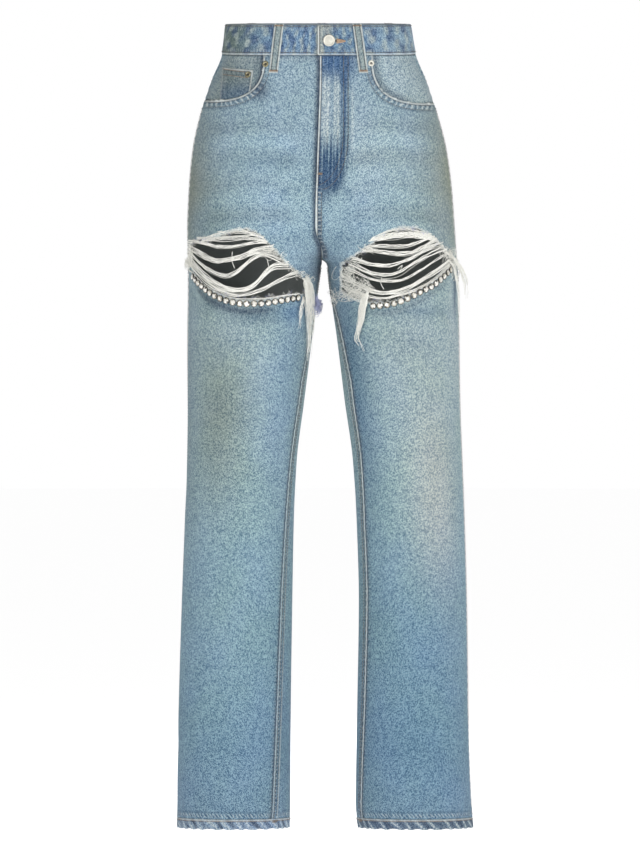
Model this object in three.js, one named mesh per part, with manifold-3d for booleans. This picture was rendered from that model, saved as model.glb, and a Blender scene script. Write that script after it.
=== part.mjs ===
// Ripped high-rise straight-leg jeans, filled out as on a wearer and hollow inside.
// Millimetres, +Z up, the front faces -Y. The origin is the middle of the waist opening at the waistband's
// top edge, where the wearer holds the garment. "Right" and "left" are the wearer's, so right is at -X.
import * as THREE from 'three';
import { mergeVertices } from 'three/addons/utils/BufferGeometryUtils.js';
import Module from 'manifold-3d';

const wasm = await Module();
wasm.setup();

const { lerp, smoothstep, degToRad, clamp } = THREE.MathUtils;
const { PI, abs, sin, cos, sqrt, hypot } = Math;

const RIGHT = -1;
const LEFT = 1;
const SIDES = [{ side: RIGHT, name: 'right' }, { side: LEFT, name: 'left' }];

// Cloth
const CLOTH = 1.3; // one layer of denim
const SEAM_GAP = 0.3; // between neighbouring pieces
const PATCH = 1.2; // one layer lying on another

// Garment heights, all measured down from the waistband's top edge at the sides
const WAISTBAND_HEIGHT = 40;
const CROTCH = 314;
const LENGTH = 1076;
const HEM_HEIGHT = 14;
const HEM_TOP = LENGTH - HEM_HEIGHT;
const WAIST_TILT = 7; // how far the waist rises for each 100 mm towards the back

// Half widths seen from the front and depths from the side seam, one row for each level of the garment
const SECTION_COLUMNS = ['drop', 'rightOut', 'rightIn', 'leftIn', 'leftOut', 'front', 'back'];
const SECTIONS = [
  [0, 128, 0, 0, 119, 76, 80],
  [40, 133, 0, 0, 126, 81, 87],
  [75, 147, 0, 0, 140, 86, 97],
  [115, 160, 0, 0, 153, 91, 107],
  [169, 172, 0, 0, 167, 97, 117],
  [222, 177, 0, 0, 174, 100, 121],
  [276, 179, 0, 0, 178, 101, 118],
  [314, 178, 0, 0, 181, 100, 112],
  [320, 178, 4.5, 5.5, 182, 100, 111],
  [356, 178, 6, 11, 184, 98, 106],
  [423, 179, 13, 21, 184, 94, 98],
  [504, 179, 23, 31, 185, 87, 90],
  [584, 180, 33, 42, 188, 81, 84],
  [665, 183, 37, 47, 191, 77, 80],
  [772, 187, 39, 50, 194, 74, 77],
  [906, 191, 41, 48, 196, 74, 76],
  [1040, 193, 42, 46, 200, 76, 77],
  [1076, 193, 43, 49, 203, 77, 78],
].map((row) => Object.fromEntries(SECTION_COLUMNS.map((name, i) => [name, row[i]])));

const FLAT_SHARE = 0.42; // share of the half width that is flat at the hips, front and back
const FRONT_RISE_CURVE = 95; // height over which the crotch seam curves forward into the fly
const BACK_RISE_CURVE = 150; // and backward into the seat
const SADDLE_HEIGHT = 45; // above the crotch the pinched leg tops have opened out here

// How far the leg seams have swung at the hem: the inseam forward and the outseam backward
const SEAM_SWING = {
  [RIGHT]: { inner: degToRad(37), outer: degToRad(10) },
  [LEFT]: { inner: degToRad(24), outer: degToRad(2) },
};
const SWING_REACH = 260; // below the crotch the swing is complete here

// Largest folds: turn is the angle round the leg, 0 at the outseam, 90 in front, -90 behind;
// heading 0 runs level and 90 straight down; a negative depth is a trough
const FOLD_COLUMNS = ['side', 'turn', 'drop', 'heading', 'length', 'width', 'depth'];
const FOLDS = [
  [RIGHT, 95, 578, 22, 46, 15, -3.0],
  [RIGHT, 78, 542, 14, 52, 20, 2.4],
  [RIGHT, 70, 402, -10, 60, 20, -2.4],
  [RIGHT, 60, 980, 30, 70, 22, 2.2],
  [LEFT, 14, 372, 82, 46, 18, -3.0],
  [LEFT, 82, 412, 12, 60, 22, -2.4],
  [LEFT, 92, 588, -16, 56, 20, 2.4],
  [LEFT, 66, 1000, -28, 70, 22, 2.0],
  [RIGHT, -95, 352, -14, 60, 16, -4.0],
  [LEFT, -95, 356, 14, 60, 16, -4.0],
  [RIGHT, -88, 596, 9, 62, 15, -4.0],
  [LEFT, -84, 606, -7, 62, 15, -4.0],
  [RIGHT, -70, 644, -12, 55, 17, -3.0],
  [LEFT, -96, 652, 12, 55, 17, -3.0],
  [RIGHT, -60, 930, 24, 70, 20, -2.6],
  [LEFT, -64, 946, -20, 70, 20, -2.6],
].map((row) => Object.fromEntries(FOLD_COLUMNS.map((name, i) => [name, row[i]])));
const FOLD_MM_PER_DEGREE = 1.4; // cloth round the leg for one degree of turn

// A smooth curve through one column of the section table that never overshoots its rows
function levelCurve(name) {
  const xs = SECTIONS.map((row) => row.drop);
  const ys = SECTIONS.map((row) => row[name]);
  const slope = xs.slice(1).map((x, i) => (ys[i + 1] - ys[i]) / (x - xs[i]));
  const tangent = xs.map((_, i) => {
    const before = slope[i - 1] ?? slope[i];
    const after = slope[i] ?? slope[i - 1];
    return before * after <= 0 ? 0 : (2 * before * after) / (before + after);
  });
  return (drop) => {
    let i = xs.findIndex((x) => x > drop) - 1;
    if (i < 0) i = drop <= xs[0] ? 0 : xs.length - 2;
    const span = xs[i + 1] - xs[i];
    const t = clamp((drop - xs[i]) / span, 0, 1);
    const rise = t * t * (3 - 2 * t);
    const bend = t * (1 - t) * span;
    return lerp(ys[i], ys[i + 1], rise) + bend * (tangent[i] * (1 - t) - tangent[i + 1] * t);
  };
}
const level = Object.fromEntries(SECTION_COLUMNS.slice(1).map((name) => [name, levelCurve(name)]));

// Half section of one side at one level: its outer edge, inner edge and fullest place
function halfSection(side, drop) {
  const prefix = side === RIGHT ? 'right' : 'left';
  const outer = level[`${prefix}Out`](drop);
  const inner = level[`${prefix}In`](drop);
  const legShare = smoothstep(drop, CROTCH - 110, CROTCH + 6);
  return { outer, inner, bulge: lerp(FLAT_SHARE * outer, (outer + inner) / 2, legShare) };
}

// Distance from the garment's middle at an angle from the outseam (0) to the inseam or centre seam (PI)
function halfX({ outer, inner, bulge }, angle, saddle) {
  if (angle <= PI / 2) return bulge + (outer - bulge) * cos(angle);
  const pinched = bulge + (bulge - inner) * cos(angle);
  return lerp(pinched, lerp(bulge, inner, angle / (PI / 2) - 1), saddle);
}

// The outer face of the plain form. Positive angles run round the front, negative ones round the back
function formPoint(side, angle, drop) {
  const round = angle < -PI && drop > CROTCH ? angle + 2 * PI : angle;
  const turn = abs(round);
  const isFront = round >= 0;
  const depth = isFront ? -level.front(drop) : level.back(drop);
  const risen = clamp((CROTCH - drop) / (isFront ? FRONT_RISE_CURVE : BACK_RISE_CURVE), 0, 1);
  const seamDepth = depth * sqrt(1 - (1 - risen) ** 2);
  const saddle = smoothstep(CROTCH - drop, 0, SADDLE_HEIGHT);
  const x = halfX(halfSection(side, drop), turn, saddle);
  let y = depth * sin(turn);
  if (turn > PI / 2) {
    const pinched = seamDepth + (depth - seamDepth) * sin(turn);
    const valley = lerp(depth, seamDepth, (1 - cos(2 * turn - PI)) / 2);
    y = lerp(pinched, valley, saddle);
  }
  const tilt = ((WAIST_TILT * y) / 100) * (1 - smoothstep(drop, 0, CROTCH));
  return new THREE.Vector3(side * x, y, tilt - drop);
}

function formNormal(side, angle, drop) {
  const turnStep = 0.004;
  const dropStep = 0.5;
  const round = formPoint(side, angle + turnStep, drop).sub(formPoint(side, angle - turnStep, drop));
  const down = formPoint(side, angle, drop + dropStep).sub(formPoint(side, angle, drop - dropStep));
  return round.cross(down).multiplyScalar(side).normalize();
}

// Height of the folds above the plain form
function foldHeight(side, angle, drop) {
  let height = 0;
  const turn = (angle * 180) / PI;
  for (const fold of FOLDS) {
    if (fold.side !== side) continue;
    const round = (turn - fold.turn) * FOLD_MM_PER_DEGREE;
    const down = drop - fold.drop;
    const heading = degToRad(fold.heading);
    const along = (round * cos(heading) + down * sin(heading)) / fold.length;
    const across = (down * cos(heading) - round * sin(heading)) / fold.width;
    height += fold.depth * Math.exp(-along * along - across * across);
  }
  return height;
}

// A point on the folded cloth, moved out by lift
function clothPoint({ side, angle, drop, lift = 0 }) {
  const normal = formNormal(side, angle, drop);
  return formPoint(side, angle, drop).addScaledVector(normal, foldHeight(side, angle, drop) + lift);
}

// The angle where the form lies at a distance x from the middle, on the front half
function angleAt(side, x, drop) {
  const section = halfSection(side, drop);
  const saddle = smoothstep(CROTCH - drop, 0, SADDLE_HEIGHT);
  let low = 0;
  let high = PI;
  for (let i = 0; i < 40; i += 1) {
    const middle = (low + high) / 2;
    if (halfX(section, middle, saddle) > x) low = middle;
    else high = middle;
  }
  return (low + high) / 2;
}
const frontPlace = (side, x, drop, lift) => ({ side, angle: angleAt(side, x, drop), drop, lift });
const backPlace = (side, x, drop, lift) => ({ side, angle: -angleAt(side, x, drop), drop, lift });

// The leg seams, and how far a panel's edge keeps back from them
function seamAngles(side, drop) {
  const swing = smoothstep(drop, CROTCH, CROTCH + SWING_REACH);
  return { outer: -SEAM_SWING[side].outer * swing, inner: PI - SEAM_SWING[side].inner * swing };
}
function clothPerRadian(side, angle, drop) {
  const step = 0.01;
  return formPoint(side, angle + step, drop).distanceTo(formPoint(side, angle - step, drop)) / (2 * step);
}
const seamInset = (side, angle, drop) => SEAM_GAP / 2 / clothPerRadian(side, angle, drop);

// A wall of cloth through a grid of places: place(v, u) gives its outer face, with v down and u across
function sheet(rows, columns, place, wall = CLOTH, isRing = false) {
  const positions = [];
  const across = isRing ? columns : columns + 1;
  for (const depth of [0, wall]) {
    for (let r = 0; r <= rows; r += 1) {
      for (let c = 0; c < across; c += 1) {
        const spot = place(r / rows, c / columns);
        const point = clothPoint({ ...spot, lift: (spot.lift ?? 0) - depth });
        positions.push(point.x, point.y, point.z);
      }
    }
  }
  const inside = (rows + 1) * across;
  const at = (r, c) => r * across + (c % across);
  const triangles = [];
  const quad = (a, b, c, d) => triangles.push(a, b, c, a, c, d);
  for (let r = 0; r < rows; r += 1) {
    for (let c = 0; c < columns; c += 1) {
      const corners = [at(r, c), at(r + 1, c), at(r + 1, c + 1), at(r, c + 1)];
      quad(...corners);
      quad(...corners.map((i) => i + inside).reverse());
    }
    if (!isRing) {
      quad(at(r, 0), at(r, 0) + inside, at(r + 1, 0) + inside, at(r + 1, 0));
      quad(at(r + 1, columns), at(r + 1, columns) + inside, at(r, columns) + inside, at(r, columns));
    }
  }
  for (let c = 0; c < columns; c += 1) {
    quad(at(0, c + 1), at(0, c + 1) + inside, at(0, c) + inside, at(0, c));
    quad(at(rows, c), at(rows, c) + inside, at(rows, c + 1) + inside, at(rows, c + 1));
  }
  const geometry = new THREE.BufferGeometry();
  geometry.setAttribute('position', new THREE.Float32BufferAttribute(positions, 3));
  geometry.setIndex(triangles);
  return facingOut(geometry);
}

function facingOut(geometry) {
  const points = geometry.getAttribute('position');
  const corner = (i) => new THREE.Vector3().fromBufferAttribute(points, geometry.index.getX(i));
  let volume = 0;
  for (let i = 0; i < geometry.index.count; i += 3) {
    volume += corner(i).dot(corner(i + 1).cross(corner(i + 2)));
  }
  if (volume < 0) geometry.setIndex(Array.from(geometry.index.array).reverse());
  return geometry;
}

// Boolean joins and cuts
function solidOf(geometry) {
  const bare = new THREE.BufferGeometry().setAttribute('position', geometry.getAttribute('position'));
  const merged = mergeVertices(bare.setIndex(geometry.index));
  const vertProperties = new Float32Array(merged.getAttribute('position').array);
  const triVerts = new Uint32Array(merged.index.array);
  return new wasm.Manifold(new wasm.Mesh({ numProp: 3, vertProperties, triVerts }));
}
function geometryOf(solid) {
  const { vertProperties, triVerts } = solid.getMesh();
  const geometry = new THREE.BufferGeometry();
  geometry.setAttribute('position', new THREE.BufferAttribute(new Float32Array(vertProperties), 3));
  geometry.setIndex(new THREE.BufferAttribute(new Uint32Array(triVerts), 1));
  return geometry;
}
const CUT_ABOVE = 6; // a cutter stands this far out of the cloth
const CUT_THROUGH = 14; // and is this thick
const cutter = (rows, columns, place) =>
  solidOf(sheet(rows, columns, (v, u) => ({ ...place(v, u), lift: CUT_ABOVE }), CUT_THROUGH));

// Materials
const cloth = (color) => new THREE.MeshStandardMaterial({ color, roughness: 0.9, metalness: 0 });
const DENIM = cloth(0x8fb2cc);
const DENIM_WORN = cloth(0x9fb6bd);
const DENIM_DARK = cloth(0x6f93b8);
const YARN = cloth(0xe6e4dc);
const SILVER = new THREE.MeshStandardMaterial({ color: 0xd8d6cf, roughness: 0.3, metalness: 1 });
const CRYSTAL = new THREE.MeshStandardMaterial({ color: 0xf2efe6, roughness: 0.05, metalness: 0.2 });

const jeans = new THREE.Group();
jeans.name = 'ripped_jeans';
function add(name, geometry, material) {
  const mesh = new THREE.Mesh(geometry, material);
  mesh.name = name;
  jeans.add(mesh);
  return mesh;
}

// Front pocket openings: a superellipse from the waist seam, close to the fly, to the side seam
const POCKET_ROUNDNESS = 2.8;
const POCKETS = { [RIGHT]: { start: 77, depth: 62 }, [LEFT]: { start: 68, depth: 66 } };
const POCKET_UNDERLAP = 12; // the facing goes on under the front by this much
function pocketDrop(side, x) {
  const { start, depth } = POCKETS[side];
  const sideX = level[side === RIGHT ? 'rightOut' : 'leftOut'](WAISTBAND_HEIGHT + depth);
  const along = clamp((sideX - x) / (sideX - start), 0, 1);
  return WAISTBAND_HEIGHT + depth * (1 - along ** POCKET_ROUNDNESS) ** (1 / POCKET_ROUNDNESS);
}
// Rows of angles across the pocket mouth, close together where the opening turns up to the waist seam
function pocketX(side, share) {
  const { start, depth } = POCKETS[side];
  const sideX = level[side === RIGHT ? 'rightOut' : 'leftOut'](WAISTBAND_HEIGHT + depth);
  const turn = (share * PI) / 2;
  return sideX - (sideX - start) * cos(turn) ** (2 / POCKET_ROUNDNESS);
}

// Rips across the thighs: distance from the middle, and the drop of the upper and the lower edge,
// from the outer end to the inner end
const RIP_COLUMNS = ['x', 'top', 'bottom'];
const RIPS = {
  [RIGHT]: [
    [175, 295, 321], [166, 290, 341], [152, 289, 354], [136, 287, 363], [122, 281, 368], [106, 277, 371],
    [90, 280, 371], [78, 289, 370], [62, 306, 367], [46, 323, 365], [33, 334, 363], [22, 344, 362],
  ],
  [LEFT]: [
    [174, 311, 324], [164, 303, 333], [153, 292, 343], [141, 283, 351], [127, 276, 359], [111, 275, 366],
    [95, 278, 372], [78, 287, 374], [65, 299, 374], [52, 308, 371], [38, 316, 366], [27, 324, 359],
  ],
};
const RIM_WIDTH = 3.2; // frayed strip that the threads stay rooted in
const RIM_END = 5; // and its width at the two ends

// A place in the rip: v from its upper to its lower edge and u along it, both edges and ends drawn in
const RIP_STEPS = 22;
function ripPlace(side, inset, endInset) {
  const rows = RIPS[side].map((row) => Object.fromEntries(RIP_COLUMNS.map((name, i) => [name, row[i]])));
  const trim = endInset / (rows[0].x - rows.at(-1).x);
  return (v, u) => {
    const at = lerp(trim, 1 - trim, u) * (rows.length - 1);
    const i = Math.min(Math.floor(at), rows.length - 2);
    const read = (name) => lerp(rows[i][name], rows[i + 1][name], at - i);
    return frontPlace(side, read('x'), lerp(read('top') + inset, read('bottom') - inset, v));
  };
}
const ripCutter = (side, inset, endInset) => cutter(2, RIP_STEPS, ripPlace(side, inset, endInset));

// Front and back legs: one panel each from the waist or yoke seam to the hem, cut to the swung leg seams
const PANEL_COLUMNS = 12;
const PANEL_ROWS = [
  { to: 262, rows: 6 },
  { to: 304, rows: 2 },
  { to: CROTCH - 2, rows: 2 },
  { to: CROTCH + 2, rows: 1 },
  { to: 346, rows: 3 },
  { to: 640, rows: 6 },
  { to: HEM_TOP - SEAM_GAP, rows: 4 },
];
function panelDrops(top) {
  const drops = [top];
  for (const { to, rows } of PANEL_ROWS) {
    const from = drops.at(-1);
    for (let r = 1; r <= rows; r += 1) drops.push(lerp(from, to, r / rows));
  }
  return drops;
}
const PANEL_TOP = WAISTBAND_HEIGHT + SEAM_GAP;
const FRONT_DROPS = panelDrops(PANEL_TOP);

function frontPlaceOnPanel(side, v, u) {
  const drop = FRONT_DROPS[Math.round(v * (FRONT_DROPS.length - 1))];
  const seam = seamAngles(side, drop);
  const outer = seam.outer + seamInset(side, seam.outer, drop);
  const inner = seam.inner - seamInset(side, seam.inner, drop);
  return { side, angle: lerp(outer, inner, u), drop };
}

// Back yoke seam: lower in the middle of the back than at the sides
const YOKE_DROP_SIDE = 78;
const YOKE_DROP_BACK = 112;
const yokeSeam = (share) => lerp(YOKE_DROP_SIDE, YOKE_DROP_BACK, share);

function backPlaceOnPanel(side, v, u) {
  const top = yokeSeam(u) + SEAM_GAP;
  const drops = panelDrops(top);
  const drop = drops[Math.round(v * (drops.length - 1))];
  const seam = seamAngles(side, drop);
  const outer = seam.outer - seamInset(side, seam.outer, drop);
  const inner = seam.inner - 2 * PI + seamInset(side, -PI, drop);
  return { side, angle: lerp(outer, inner, u), drop };
}

const YOKE_ROWS = 3;
function yokePlace(side, v, u) {
  const angle = lerp(-seamInset(side, 0, YOKE_DROP_SIDE), -PI + seamInset(side, -PI, YOKE_DROP_BACK), u);
  return { side, angle, drop: lerp(PANEL_TOP, yokeSeam(u), v) };
}

function pocketCut(side) {
  return cutter(3, 14, (v, u) => {
    const x = pocketX(side, u);
    const beyondSide = degToRad(4);
    const drop = lerp(PANEL_TOP - 8, pocketDrop(side, x), v);
    const place = frontPlace(side, x, drop);
    return u === 1 ? { ...place, angle: -beyondSide } : place;
  });
}

for (const { side, name } of SIDES) {
  const panelRows = FRONT_DROPS.length - 1;
  const plainFront = solidOf(sheet(panelRows, PANEL_COLUMNS, (v, u) => frontPlaceOnPanel(side, v, u)));
  const front = plainFront.subtract(pocketCut(side)).subtract(ripCutter(side, 0, 0));
  add(`front_${name}`, geometryOf(front), DENIM);
  add(`back_${name}`, sheet(panelRows, PANEL_COLUMNS, (v, u) => backPlaceOnPanel(side, v, u)), DENIM);
  add(`yoke_${name}`, sheet(YOKE_ROWS, PANEL_COLUMNS, (v, u) => yokePlace(side, v, u)), DENIM);
}

// Pocket facings: they fill the pocket mouths and go on under the fronts
const FACING = 1.0;
const FACING_LIFT = -(CLOTH + 0.9); // clear of the front's inner face, also between that face's columns
for (const { side, name } of SIDES) {
  const facing = sheet(5, 12, (v, u) => {
    const x = pocketX(side, lerp(0.02, 0.995, u));
    const drop = lerp(PANEL_TOP, pocketDrop(side, x) + POCKET_UNDERLAP, v);
    const place = frontPlace(side, x, drop, FACING_LIFT);
    return u === 1 ? { ...place, angle: seamInset(side, 0, drop) } : place;
  }, FACING);
  add(`pocket_facing_${name}`, facing, DENIM_WORN);
}

// Coin pocket: a small patch on the right facing, with its foot hidden by the front pocket's edge
const COIN = { inner: 93, outer: 133, topInner: 62, topOuter: 57, edgeGap: 1, clear: 0.5 };
add('coin_pocket', sheet(4, 5, (v, u) => {
  const x = lerp(COIN.outer, COIN.inner, u);
  const top = lerp(COIN.topOuter, COIN.topInner, u);
  const drop = lerp(top, pocketDrop(RIGHT, x) - COIN.edgeGap, v);
  return frontPlace(RIGHT, x, drop, FACING_LIFT + COIN.clear + PATCH);
}, PATCH), DENIM_WORN);

// Fly: the J-shaped double layer beside the centre seam, on the left front
const FLY = { width: 38, bottom: 226, bend: 76, edge: 0.4, foot: 5 };
add('fly_placket', sheet(12, 3, (v, u) => {
  const drop = lerp(PANEL_TOP + 1, FLY.bottom, v);
  const bent = clamp((drop - (FLY.bottom - FLY.bend)) / FLY.bend, 0, 1);
  const width = lerp(FLY.foot, FLY.width, sqrt(1 - bent * bent));
  return frontPlace(LEFT, lerp(width, FLY.edge, u), drop, SEAM_GAP + PATCH);
}, PATCH), DENIM_DARK);

// Waistband: one folded strip round the waist. Its left end laps over the right end in front
const WAISTBAND = 2.4;
const WAISTBAND_LIFT = 1;
const UNDERLAP = 36;
const WAIST_STEPS = { half: 22, lap: 6 };
const lapLift = WAISTBAND_LIFT - WAISTBAND - 0.5;
const waistTotal = 2 * WAIST_STEPS.half + WAIST_STEPS.lap;
add('waistband', sheet(2, waistTotal, (v, u) => {
  const step = u * waistTotal;
  const drop = v * WAISTBAND_HEIGHT;
  if (step <= WAIST_STEPS.half) {
    return { side: LEFT, angle: lerp(PI, -PI, step / WAIST_STEPS.half), drop, lift: WAISTBAND_LIFT };
  }
  if (step < 2 * WAIST_STEPS.half) {
    return { side: RIGHT, angle: lerp(-PI, PI, step / WAIST_STEPS.half - 1), drop, lift: WAISTBAND_LIFT };
  }
  const lap = (step - 2 * WAIST_STEPS.half) / WAIST_STEPS.lap;
  return frontPlace(LEFT, lerp(-1, UNDERLAP, lap), drop, lapLift);
}, WAISTBAND), DENIM);

// Belt loops: narrow strips over the waistband, sewn above its top edge and below its seam
const LOOP = { width: 12, top: -2, bottom: 64, wall: 1.6, slack: 1.2, clear: 0.5 };
const LOOPS = [
  { name: 'loop_front_right', side: RIGHT, face: frontPlace, top: 56, bottom: 64 },
  { name: 'loop_front_left', side: LEFT, face: frontPlace, top: 47, bottom: 56 },
  { name: 'loop_back_right', side: RIGHT, face: backPlace, top: 92, bottom: 94 },
  { name: 'loop_back_left', side: LEFT, face: backPlace, top: 88, bottom: 90 },
  { name: 'loop_back', side: LEFT, face: backPlace, top: 0, bottom: 0 },
];
for (const loop of LOOPS) {
  add(loop.name, sheet(9, 2, (v, u) => {
    const drop = lerp(LOOP.top, LOOP.bottom, v);
    const offBand = smoothstep(drop, WAISTBAND_HEIGHT - 1, WAISTBAND_HEIGHT + 9);
    const slack = LOOP.slack * sin(PI * clamp(drop / WAISTBAND_HEIGHT, 0, 1));
    const lift = lerp(WAISTBAND_LIFT, 0, offBand) + LOOP.clear + slack + LOOP.wall;
    const x = lerp(loop.top, loop.bottom, v) + (0.5 - u) * LOOP.width;
    return x < 0 ? loop.face(-loop.side, -x, drop, lift) : loop.face(loop.side, x, drop, lift);
  }, LOOP.wall), DENIM_WORN);
}

// Back pockets: five-sided patches below the yoke
const BACK_POCKET = {
  inner: 24, outer: 142, top: 128, height: 128, point: 24, taper: 8, slant: -8, clear: 0.8,
};
for (const { side, name } of SIDES) {
  add(`back_pocket_${name}`, sheet(8, 10, (v, u) => {
    const middle = 1 - abs(2 * u - 1);
    const { top, height, point, taper, slant } = BACK_POCKET;
    const drop = top + slant * (1 - u) + v * (height + point * middle);
    const outer = angleAt(side, BACK_POCKET.outer - taper * v, drop);
    const inner = angleAt(side, BACK_POCKET.inner + taper * v, drop);
    return { side, angle: -lerp(outer, inner, u), drop, lift: BACK_POCKET.clear + PATCH };
  }, PATCH), DENIM);
}

// Hems: the leg ends, folded up twice and sewn
const HEM_WALL = 2.8;
const HEM_STEPS = 28;
for (const { side, name } of SIDES) {
  const round = (v, u) => ({ side, angle: lerp(-PI, PI, u), drop: lerp(HEM_TOP, LENGTH, v), lift: 0.5 });
  add(`hem_${name}`, sheet(1, HEM_STEPS, round, HEM_WALL, true), DENIM_WORN);
}

// Turned metal pieces stand on the cloth, with their axis along its normal
function turned(name, profile, place, segments, material) {
  const lathe = new THREE.LatheGeometry(profile.map(([r, h]) => new THREE.Vector2(r, h)), segments);
  lathe.deleteAttribute('normal');
  lathe.deleteAttribute('uv');
  const mesh = add(name, facingOut(mergeVertices(lathe)), material);
  mesh.position.copy(clothPoint(place));
  const axis = formNormal(place.side, place.angle, place.drop);
  mesh.quaternion.setFromUnitVectors(new THREE.Vector3(0, 1, 0), axis);
}
const BUTTON_PROFILE = [[0, 0], [4, 0], [4, 1.6], [7.6, 1.8], [8.4, 2.6], [8.2, 3.6], [7, 4.2], [0, 4.8]];
turned('button', BUTTON_PROFILE, frontPlace(LEFT, 10, 21, WAISTBAND_LIFT + SEAM_GAP), 24, SILVER);

const RIVET_PROFILE = [[0, 0], [4.4, 0], [4.6, 0.5], [3.6, 1.3], [1.8, 1.5], [1.4, 2], [0, 2.1]];
const RIVETS = [
  { name: 'rivet_right', side: RIGHT, x: 74.5, drop: 52, lift: 0 },
  { name: 'rivet_left', side: LEFT, x: 66, drop: 52, lift: 0 },
  { name: 'rivet_coin', side: RIGHT, x: 98, drop: 66, lift: FACING_LIFT + COIN.clear + PATCH },
];
for (const rivet of RIVETS) {
  const place = frontPlace(rivet.side, rivet.x, rivet.drop, rivet.lift + SEAM_GAP + 0.1);
  turned(rivet.name, RIVET_PROFILE, place, 14, SILVER);
}

// Loose weft yarns left across each rip, from the outer end to the inner end, as bundles of one width
const YARN_WALL = 1.1;
const YARN_STEPS = 7;
const YARN_SMOOTHING = 0.05; // slivers thinner than this are closed where yarns cross
const YARNS = {
  [RIGHT]: [
    { width: 3.4,
      path: [[134, 283], [118, 282], [104, 282], [90, 286]] },
    { width: 3.4,
      path: [[166, 290], [146, 294], [130, 296], [108, 292], [88, 289], [76, 291]] },
    { width: 4,
      path: [[174, 294], [150, 298], [136, 301], [112, 300], [92, 295], [74, 292]] },
    { width: 7.5,
      path: [[174, 300], [162, 309], [148, 317], [132, 319], [108, 314], [86, 306], [66, 303]] },
    { width: 5,
      path: [[175, 305], [162, 321], [150, 331], [128, 339], [112, 333], [94, 318], [78, 311], [58, 319]] },
    { width: 7,
      path: [[175, 312], [164, 329], [148, 344], [126, 356], [106, 358], [88, 350], [66, 328], [46, 325]] },
    { width: 4.6,
      path: [[175, 320], [160, 340], [144, 354], [124, 363], [104, 365], [80, 358], [54, 344], [34, 335]] },
  ],
  [LEFT]: [
    { width: 4.6,
      path: [[142, 284], [126, 282], [110, 283], [94, 287], [78, 290]] },
    { width: 3,
      path: [[146, 287], [128, 294], [112, 298], [96, 299], [80, 299], [64, 300]] },
    { width: 5,
      path: [[152, 291], [134, 301], [118, 308], [100, 309], [80, 307], [58, 304]] },
    { width: 4.4,
      path: [[158, 296], [138, 305], [120, 315], [102, 322], [84, 326], [62, 323], [44, 316]] },
    { width: 4.4,
      path: [[162, 301], [140, 312], [122, 322], [104, 334], [84, 338], [64, 334], [42, 322]] },
    { width: 4,
      path: [[168, 306], [150, 319], [132, 331], [110, 343], [88, 346], [66, 343], [36, 328]] },
    { width: 6,
      path: [[174, 315], [156, 330], [136, 343], [116, 354], [92, 361], [70, 360], [48, 350], [28, 338]] },
    { width: 4,
      path: [[170, 324], [148, 345], [126, 357], [104, 364], [82, 369], [62, 366], [42, 358], [28, 350]] },
  ],
};

// Locks of yarn that hang out of the rips' ends over the cloth and the trim: path points are x, drop and lift
const LOCKS = {
  [RIGHT]: [
    { width: 6,
      path: [[28, 349, 0.2], [25, 351, 0.6], [21.5, 354, 3.4], [18, 368, 7.5], [14, 405, 8], [12, 444, 6]] },
    { width: 4.5,
      path: [[28, 354, 0.2], [25, 356, 0.6], [20, 359, 5], [14, 374, 10], [10, 405, 11], [9, 438, 9]] },
    { width: 3,
      path: [[29, 358, 0.2], [28.6, 360, 0.6], [28, 363, 5.6], [27, 373, 8.5], [28, 392, 8], [29, 409, 7]] },
    { width: 4,
      path: [[170, 304, 0.2], [172.5, 306, 0.6], [175, 309, 4], [177.5, 322, 8], [177.5, 342, 8]] },
  ],
  [LEFT]: [
    { width: 8,
      path: [[58, 367.5, 0.2], [58, 370, 0.6], [57, 373, 5.6], [57, 382, 9], [53, 406, 8], [48, 424, 6]] },
    { width: 3.4,
      path: [[51, 365, 0.2], [51, 368, 0.6], [51, 371, 5.6], [51, 384, 9.5], [54, 420, 8], [59, 442, 7]] },
    { width: 5,
      path: [[170, 313, 0.2], [172, 315, 0.6], [175, 318, 3], [180, 332, 8], [181, 352, 9], [181, 370, 9]] },
    { width: 4,
      path: [[169, 318, 0.2], [172, 320, 0.6], [174, 323, 4], [177, 345, 7], [180, 372, 7], [181, 400, 6]] },
  ],
};

// A flat band along a path of x, drop and lift over the front of one leg
function band(side, path, width, wall, steps, extraLift = 0) {
  const points = path.map(([x, drop, lift = 0]) => new THREE.Vector3(x, drop, lift));
  const route = new THREE.CatmullRomCurve3(points);
  const along = (share) => {
    const point = route.getPoint(share);
    const x = Math.min(point.x, halfSection(side, point.y).outer - 0.2);
    return { angle: angleAt(side, x, point.y), drop: point.y, lift: point.z + extraLift };
  };
  return sheet(steps, 1, (v, u) => {
    const here = along(v);
    const before = along(Math.max(v - 0.02, 0));
    const after = along(Math.min(v + 0.02, 1));
    const reach = clothPerRadian(side, here.angle, here.drop);
    const round = (after.angle - before.angle) * reach;
    const down = after.drop - before.drop;
    const shift = ((u - 0.5) * width) / hypot(round, down);
    const angle = here.angle - (down * shift) / reach;
    return { side, angle, drop: here.drop + round * shift, lift: here.lift };
  }, wall);
}
const ribbon = (side, { width, path }, steps) => solidOf(band(side, path, width, YARN_WALL, steps));

for (const { side, name } of SIDES) {
  const mouth = cutter(2, RIP_STEPS, ripPlace(side, SEAM_GAP, SEAM_GAP));
  const filled = solidOf(sheet(1, RIP_STEPS, ripPlace(side, SEAM_GAP, SEAM_GAP))).intersect(mouth);
  let threads = filled.subtract(ripCutter(side, RIM_WIDTH, RIM_END));
  for (const yarn of YARNS[side]) threads = threads.add(ribbon(side, yarn, YARN_STEPS).intersect(mouth));
  for (const lock of LOCKS[side]) threads = threads.add(ribbon(side, lock, 2 * (lock.path.length - 1)));
  add(`rip_threads_${name}`, geometryOf(threads.asOriginal().simplify(YARN_SMOOTHING)), YARN);
}

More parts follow.
